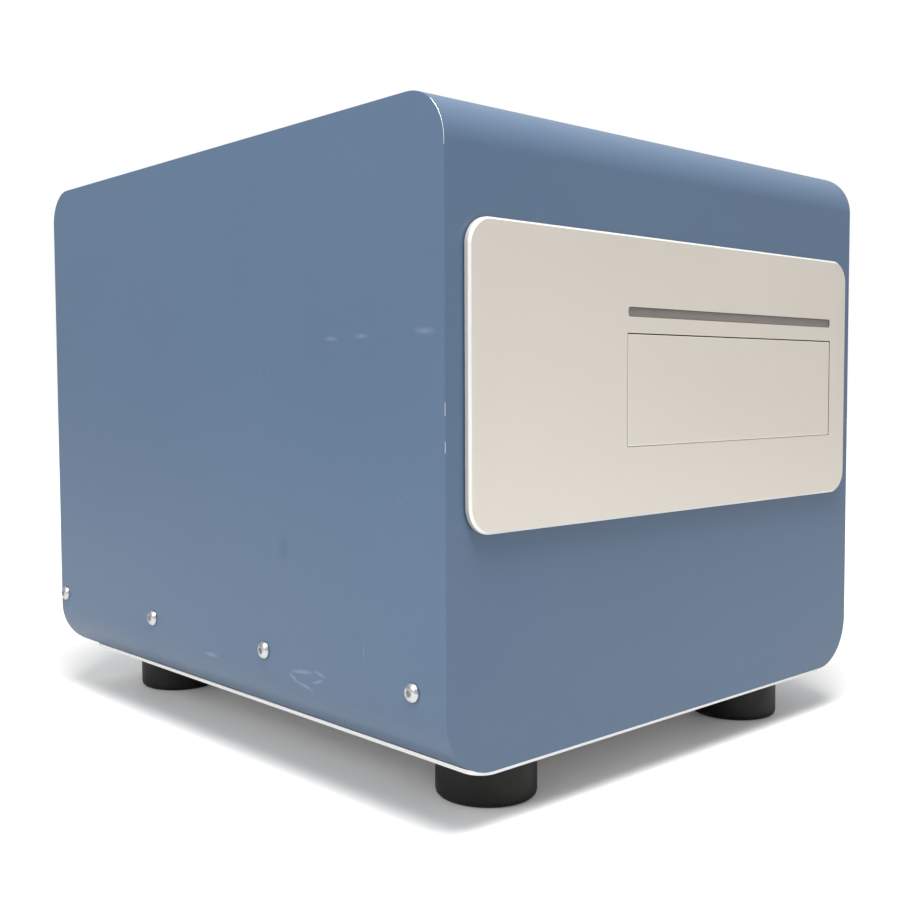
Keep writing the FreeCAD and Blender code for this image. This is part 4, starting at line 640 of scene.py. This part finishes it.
plateTop = plate["low"] + plate["height"]
plateSlot = [plate["back"] + plate["through"], plate["face"] - plate["through"]]
platePaints = (finishes["front_anodised"], brightRim, cutWall)
frontPlate = loft("frontPlateFace",
                  [plateRing(0.0, plate["back"]), plateRing(0.0, plate["face"] + plate["chamfer"]),
                   plateRing(plate["chamfer"], plate["face"])], *platePaints)
wallFacing, flatFacing = plate["facing"]
for face in frontPlate.data.polygons:
    if wallFacing < -face.normal.y < flatFacing:
        face.material_index = 1    # the chamfer is cut after anodising
doorway = boxTool((plate["doorLeft"], plateSlot[1], plate["doorLow"]),
                  (plate["doorRight"], plateSlot[0], plate["doorHigh"]))
slotLeft, slotRight, slotLow, slotHigh = plate["slot"]
slotTool = loft("tool", [
    roundedRing((slotLeft + slotRight) / 2, (slotRight - slotLeft) / 2, slotLow, slotHigh,
                plate["slotCorner"], y, plate["slotSteps"]) for y in plateSlot])
sillTool = rodTool(((plate["doorLeft"] + plate["doorRight"]) / 2, *plate["hinge"]), (1, 0, 0), plate["sill"],
                   plate["sillWidth"], plate["sillSides"])
carve(frontPlate, doorway, slotTool, sillTool)
marginX, marginZ = plate["margin"]
for face in frontPlate.data.polygons:
    inWidth = abs(face.center.x) < plate["half"] - marginX
    inHeight = plate["low"] + marginZ < face.center.z < plateTop - marginZ
    if abs(face.normal.y) < wallFacing and inWidth and inHeight:
        face.material_index = 2    # walls of the cut-outs, darkened as painted shade in the gaps
soften(frontPlate, plate["rim"], 2, rim=1, angle=50.0)
standsFor(frontPlate, "front_plate")

flap = {
    "middle": 0.045, "half": 0.0964, "front": -0.194, "back": -0.1908, "top": 0.2268, "swing": 0.00755,
    "steps": 8, "rim": 0.0003, "ear": 0.0034, "earWidth": 0.006, "earOut": 0.0884, "bore": 0.00125,
    "pocket": 0.117, "pocketRadius": 0.0029, "pocketWidth": 0.006,
}
hingeY, hingeZ = plate["hinge"]


def drawnOut(outline, middle, half, *materials):
    # an outline of (y, z) points, drawn out along X
    return loft("tool", [[(middle + side * half, y, z) for y, z in outline] for side in (-1, 1)], *materials)


outline = []
for i in range(flap["steps"] + 1):
    y = flap["front"] + (flap["back"] - flap["front"]) * i / flap["steps"]
    outline.append((y, hingeZ - math.sqrt(flap["swing"] ** 2 - (y - hingeY) ** 2)))
outline += [(flap["back"], flap["top"]), (flap["front"], flap["top"])]
panel = drawnOut(outline, flap["middle"], flap["half"], *platePaints)
for face in panel.data.polygons:
    if abs(face.normal.y) < wallFacing:
        # the flap's edge walls take the same painted gap shade
        face.material_index = 2
soften(panel, flap["rim"], 2, rim=1)
carve(panel, rodTool((flap["pocket"], hingeY, hingeZ), (1, 0, 0), flap["pocketRadius"], flap["pocketWidth"]))
lug = [(flap["back"] - flap["rim"], hingeZ - flap["ear"])]
for i in range(2 * flap["steps"] + 1):
    angle = math.pi * (i / (2 * flap["steps"]) - 0.5)
    lug.append((hingeY + flap["ear"] * math.cos(angle), hingeZ + flap["ear"] * math.sin(angle)))
lug.append((flap["back"] - flap["rim"], hingeZ + flap["ear"]))
parts = [panel]
for side in (-1, 1):
    middle = flap["middle"] + side * flap["earOut"]
    ear = drawnOut(lug, middle, flap["earWidth"] / 2)
    parts.append(carve(ear, rodTool((middle, hingeY, hingeZ), (1, 0, 0), flap["bore"], 2 * flap["earWidth"])))
standsFor(gathered("flapPanel", parts, *platePaints), "door_flap", "door")


# Feet and screws
foot = {
    "profile": [(0.009, 0.0), (0.0222, 0.0), (0.0240, 0.0004), (0.0250, 0.0014), (0.0254, 0.003),
                (0.0254, 0.0222), (0.0257, 0.0226), (0.0262, 0.0228), (0.0264, 0.0232), (0.0264, 0.0248),
                (0.0261, 0.0253), (0.0256, 0.0254), (0.003, 0.0254), (0.003, 0.012), (0.009, 0.012)],
    "sides": 64,
}
footSpots = [((side * hood["footX"], row, 0.0), (0, 0, 1)) for side in (-1, 1) for row in hood["footRows"]]
feet = repeated("rubberFeet", lathe("tool", foot["profile"], foot["sides"]), footSpots,
                finishes["foot_rubber"])
standsFor(feet, "feet")

screw = {"radius": 0.0024, "length": 0.009, "head": 0.0046, "height": 0.0026, "hex": 0.0016, "depth": 0.0015}
# what all button screws share, mostly as shares of a screw's own measures
button = {"sides": 48, "steps": 10, "bulge": 0.8, "rim": 0.12, "tip": 0.8, "tipFrom": 0.95,
          "hexCorner": 1.155}


def buttonScrew(look):
    # button head: a low dome with a hexagon recess
    turns = [math.radians(90 * i / button["steps"]) for i in range(button["steps"])]
    dome = [(look["head"] * math.cos(turn) ** button["bulge"],
             look["height"] * (button["rim"] + (1 - button["rim"]) * math.sin(turn))) for turn in turns]
    shank = [(0.0, -look["length"]), (look["radius"] * button["tip"], -look["length"]),
             (look["radius"], -look["length"] * button["tipFrom"]), (look["radius"], 0.0),
             (look["head"], 0.0)]
    body = lathe("tool", shank + dome + [(0.0, look["height"])], button["sides"])
    return carve(body, rodTool((0, 0, look["height"]), (0, 0, 1), look["hex"] * button["hexCorner"],
                               look["depth"] * 2, 6))


screwSpots = [((side * hood["half"], row, hood["screwRise"]), (side, 0, 0))
              for side in (-1, 1) for row in hood["screwRows"]]
sideScrews = repeated("buttonScrews", buttonScrew(screw), screwSpots, finishes["screw_steel"])
standsFor(sideScrews, "hood_screws")


# Cooling fan
fan = {
    "x": -0.120, "z": 0.2514, "face": 0.186, "depth": 0.025, "half": 0.030, "corner": 0.005,
    "bore": 0.0285, "wall": 0.0016, "flange": 0.004, "strut": 0.005, "hub": 0.013, "holeOut": 0.025,
    "hole": 0.0022, "gap": 0.002, "axle": 0.0018, "edge": 0.0004, "sides": 64,
    "hubSides": 48, "bearing": 0.0002, "cap": 0.0007, "step": 0.0003, "stepRadius": 0.0103,
    "stepSlope": 0.0004, "crown": 0.0122, "round": 0.0008, "cornerSteps": 6,
}
blade = {"count": 7, "root": 0.0125, "tip": 0.0265, "rootChord": 0.0115, "tipChord": 0.0150, "rootPitch": 43,
         "tipPitch": 29, "camber": 0.0012, "thick": 0.0013, "blunt": 1.02, "along": 6, "around": 9}
guard = {"wire": 0.001, "rings": (0.009, 0.018, 0.027), "ringY": 0.193, "barY": 0.191, "eyeY": 0.188,
         "eyeHeight": 0.004, "eye": 0.0045, "wireSides": 10, "ringSides": 64, "eyeSides": 32, "barSides": 16}
fanCorners = [(fan["x"] + across * fan["holeOut"], fan["z"] + up * fan["holeOut"])
              for across in (-1, 1) for up in (-1, 1)]


def fanRod(radius, low, high, x=fan["x"], z=fan["z"]):
    return rodTool((x, (low + high) / 2, z), (0, 1, 0), radius, high - low, fan["sides"])


def fanFlange(y):
    rings = [roundedRing(fan["x"], fan["half"], fan["z"] - fan["half"], fan["z"] + fan["half"], fan["corner"],
                         level, fan["cornerSteps"]) for level in (y + fan["flange"], y)]
    through = (y - fan["flange"], y + 2 * fan["flange"])
    bores = [fanRod(fan["hole"], *through, x, z) for x, z in fanCorners]
    return soften(carve(loft("tool", rings), fanRod(fan["bore"], *through), *bores), fan["edge"], 2)


def fanFrame():
    inner = fan["face"] - fan["depth"]
    outside = fan["bore"] + fan["wall"]
    reach, half = fan["bore"] + fan["wall"] / 2, fan["strut"] / 2
    tube = [(fan["bore"], 0), (outside, 0), (outside, fan["depth"]), (fan["bore"], fan["depth"])]
    barrel = lathe("tool", tube, fan["sides"])
    struts = [boxTool((fan["x"] - wide, inner, fan["z"] - tall),
                      (fan["x"] + wide, inner + fan["flange"], fan["z"] + tall))
              for wide, tall in ((reach, half), (half, reach))]
    return [fanFlange(inner), fanFlange(fan["face"] - fan["flange"]),
            placed(barrel, (fan["x"], inner, fan["z"])), *struts,
            fanRod(fan["hub"], inner, inner + fan["flange"]),
            fanRod(fan["axle"], inner, fan["face"] - 1.5 * fan["gap"])]


def fanBlade(turn):
    # sections along the radius, each wrapped round the hub's axis, so the blade twists and cups
    middle = fan["face"] - (fan["depth"] - fan["flange"]) / 2
    rings = []
    for step in range(blade["along"] + 1):
        share = step / blade["along"]
        radius = blade["root"] + (blade["tip"] - blade["root"]) * share
        pitch = math.radians(blade["rootPitch"] + (blade["tipPitch"] - blade["rootPitch"]) * share)
        half = (blade["rootChord"] + (blade["tipChord"] - blade["rootChord"]) * share) / 2
        ring = []
        for side in (1, -1):
            for i in range(blade["around"]):
                along = side * (2 * i / blade["around"] - 1)
                thickness = side * blade["thick"] / 2 * math.sqrt(blade["blunt"] - along ** 2)
                rise = blade["camber"] * (1 - along ** 2) + thickness
                chord = along * half
                angle = turn + (chord * math.cos(pitch) - rise * math.sin(pitch)) / radius
                ring.append((fan["x"] + radius * math.cos(angle),
                             middle + chord * math.sin(pitch) + rise * math.cos(pitch),
                             fan["z"] + radius * math.sin(angle)))
        rings.append(ring)
    return loft("tool", rings)


def fanHub():
    long = fan["depth"] - fan["flange"] - 2 * fan["gap"]
    bore = fan["axle"] + fan["bearing"]
    dished = long - fan["step"]
    profile = [(0, dished), (fan["stepRadius"], dished), (fan["stepRadius"] + fan["stepSlope"], long),
               (fan["crown"], long), (fan["hub"], long - fan["round"]), (fan["hub"], 0), (bore, 0),
               (bore, long - fan["cap"]), (0, long - fan["cap"])]
    body = lathe("tool", profile, fan["hubSides"])
    return placed(body, (fan["x"], fan["face"] - fan["gap"] - long, fan["z"]))


def guardLoop(radius, half, rise, sides, centre):
    # a ring of wire, round where half and rise are equal
    turns = [math.tau * i / guard["wireSides"] for i in range(guard["wireSides"])]
    loop = lathe("tool", [(radius + half * math.cos(turn), rise * math.sin(turn)) for turn in turns], sides)
    return placed(loop, centre)


black = finishes["black_plastic"]
standsFor(gathered("fanHousing", fanFrame(), black), "fan_frame")
rotorParts = [fanHub()] + [fanBlade(math.tau * i / blade["count"]) for i in range(blade["count"])]
standsFor(gathered("fanRotor", rotorParts, black), "fan_rotor", "fan")
eyeWire = (guard["eye"] - fan["hole"]) / 2
eyeRise = guard["eyeHeight"] / 2
wires = [guardLoop(radius, guard["wire"], guard["wire"],
                   guard["ringSides"] if radius > fan["hub"] else guard["eyeSides"],
                   (fan["x"], guard["ringY"], fan["z"])) for radius in guard["rings"]]
wires += [guardLoop(fan["hole"] + eyeWire, eyeWire, eyeRise, guard["eyeSides"],
                    (x, guard["eyeY"] + eyeRise, z)) for x, z in fanCorners]
barLength = 2 * (fan["holeOut"] * math.sqrt(2) - guard["eye"] + eyeWire)
wires += [rodTool((fan["x"], guard["barY"], fan["z"]), (1, 0, tilt), guard["wire"], barLength,
                  guard["barSides"]) for tilt in (-1, 1)]
standsFor(gathered("fanGuardWires", wires, finishes[slotOf["fan_guard"]]), "fan_guard")
guardScrew = {"radius": 0.0015, "length": 0.009, "head": 0.0035, "height": 0.002, "hex": 0.0011,
              "depth": 0.0011}
rearScrews = repeated("guardScrews", buttonScrew(guardScrew),
                      [((x, guard["eyeY"] + guard["eyeHeight"], z), (0, 1, 0)) for x, z in fanCorners],
                      finishes["screw_steel"])
standsFor(rearScrews, "fan_screws")


# Room and light
room = {
    # the table is seen lighter than it lights the object
    "floor": (0.88, 0.88, 0.875), "bounce": (0.66, 0.66, 0.65), "size": 6.0,
    "nearGlow": 0.05, "farGlow": 0.55, "glowFrom": 0.5, "glowTo": 1.6,
    "white": (1.0, 1.0, 1.0), "horizon": 0.30, "zenith": 0.80, "skyTop": 0.9,
}
lamps = {
    "overhead": {"place": (-0.45, -0.60, 2.1), "target": (0.0, -0.1, 0.1), "size": 0.9, "power": 55.0,
                 "colour": (1.0, 0.99, 0.97)},
    "leftWindow": {"place": (-2.2, 0.1, 1.3), "target": (0.0, 0.0, 0.15), "size": 1.4, "power": 18.0,
                   "colour": (0.98, 0.99, 1.0)},
}


def floorFinish(name):
    # white table: the camera sees it a little lighter, and white far from the object
    f = Finish(name, seed=4.0)
    away = f.node("ShaderNodeVectorMath", {"operation": "LENGTH"}, {0: f.place}, out="Value")
    seen = f.node("ShaderNodeLightPath", out="Is Camera Ray")
    glow = f.node("ShaderNodeMapRange", {"interpolation_type": "SMOOTHSTEP"},
                  {"Value": away, "From Min": room["glowFrom"], "From Max": room["glowTo"],
                   "To Min": room["nearGlow"], "To Max": room["farGlow"]})
    colour = f.mix(seen, room["bounce"], room["floor"])
    f.set(baseColor=f.tint(colour, 0.99 + f.noise(1.5) * 0.02), roughness=0.55,
          emissionColor=f.tint(room["white"], glow * seen), emissionStrength=1.0)
    return f.material


def roomWorld():
    # white where the camera or glass looks at it, and a soft sky that lights the object
    world = bpy.data.worlds.new("room")
    world.use_nodes = True
    w = NodeMaker(world.node_tree)
    rise = w.node("ShaderNodeSeparateXYZ", inputs={0: w.node("ShaderNodeTexCoord", out="Generated")}, out="Z")
    sky = w.node("ShaderNodeMapRange", inputs={"Value": rise, "From Min": 0.0, "From Max": room["skyTop"],
                                               "To Min": room["horizon"], "To Max": room["zenith"]})
    lit = w.node("ShaderNodeBackground", inputs={"Color": room["white"], "Strength": sky})
    shown = w.node("ShaderNodeBackground", inputs={"Color": room["white"], "Strength": 1.0})
    either = w.node("ShaderNodeMath", {"operation": "MAXIMUM"},
                    {0: w.node("ShaderNodeLightPath", out="Is Camera Ray"),
                     1: w.node("ShaderNodeLightPath", out="Is Transmission Ray")})
    w.node("ShaderNodeOutputWorld",
           inputs={"Surface": w.node("ShaderNodeMixShader", inputs={0: either, 1: lit, 2: shown})})
    return world


def areaLamp(name, look):
    data = bpy.data.lights.new(name, "AREA")
    data.shape = "SQUARE"
    data.size = look["size"]
    data.energy = look["power"]
    data.color = look["colour"]
    lamp = bpy.data.objects.new(name, data)
    scene.collection.objects.link(lamp)
    lamp.location = look["place"]
    aim = Vector(look["target"]) - Vector(look["place"])
    lamp.rotation_euler = aim.to_track_quat("-Z", "Y").to_euler()


floorMesh = bpy.data.meshes.new("floor")
floorSize = room["size"]
floorMesh.from_pydata([(-floorSize, -floorSize, 0), (floorSize, -floorSize, 0), (floorSize, floorSize, 0),
                       (-floorSize, floorSize, 0)], [], [(0, 1, 2, 3)])
meshObject("floor", floorMesh, floorFinish("tableTop"))
scene.world = roomWorld()
for name, look in lamps.items():
    areaLamp(name, look)
print("room lit by", len(lamps), "lamps")


# Camera, as fitted to the photograph
cameraLook = {"place": (-0.5141, -0.5558, 0.2014), "azimuth": 41.554, "elevation": -3.221, "roll": -0.3465,
              "lens": 46.767, "sensor": 36.0, "shift": (0.0408, 0.0030), "nearest": 0.01}
azimuth, elevation, roll = (math.radians(cameraLook[k]) for k in ("azimuth", "elevation", "roll"))
forward = Vector((math.sin(azimuth) * math.cos(elevation), math.cos(azimuth) * math.cos(elevation),
                  math.sin(elevation)))
level = Vector((math.cos(azimuth), -math.sin(azimuth), 0))
upright = level.cross(forward)
rightward = level * math.cos(roll) + upright * math.sin(roll)
upward = upright * math.cos(roll) - level * math.sin(roll)
camera = bpy.data.objects.new("camera", bpy.data.cameras.new("camera"))
scene.collection.objects.link(camera)
aimMatrix = Matrix((rightward, upward, -forward)).transposed().to_4x4()
camera.matrix_world = Matrix.Translation(cameraLook["place"]) @ aimMatrix
camera.data.lens = cameraLook["lens"]
camera.data.sensor_width = cameraLook["sensor"]
camera.data.shift_x, camera.data.shift_y = cameraLook["shift"]
camera.data.clip_start = cameraLook["nearest"]
scene.camera = camera
scene.view_settings.view_transform = "Standard"
print("camera placed")
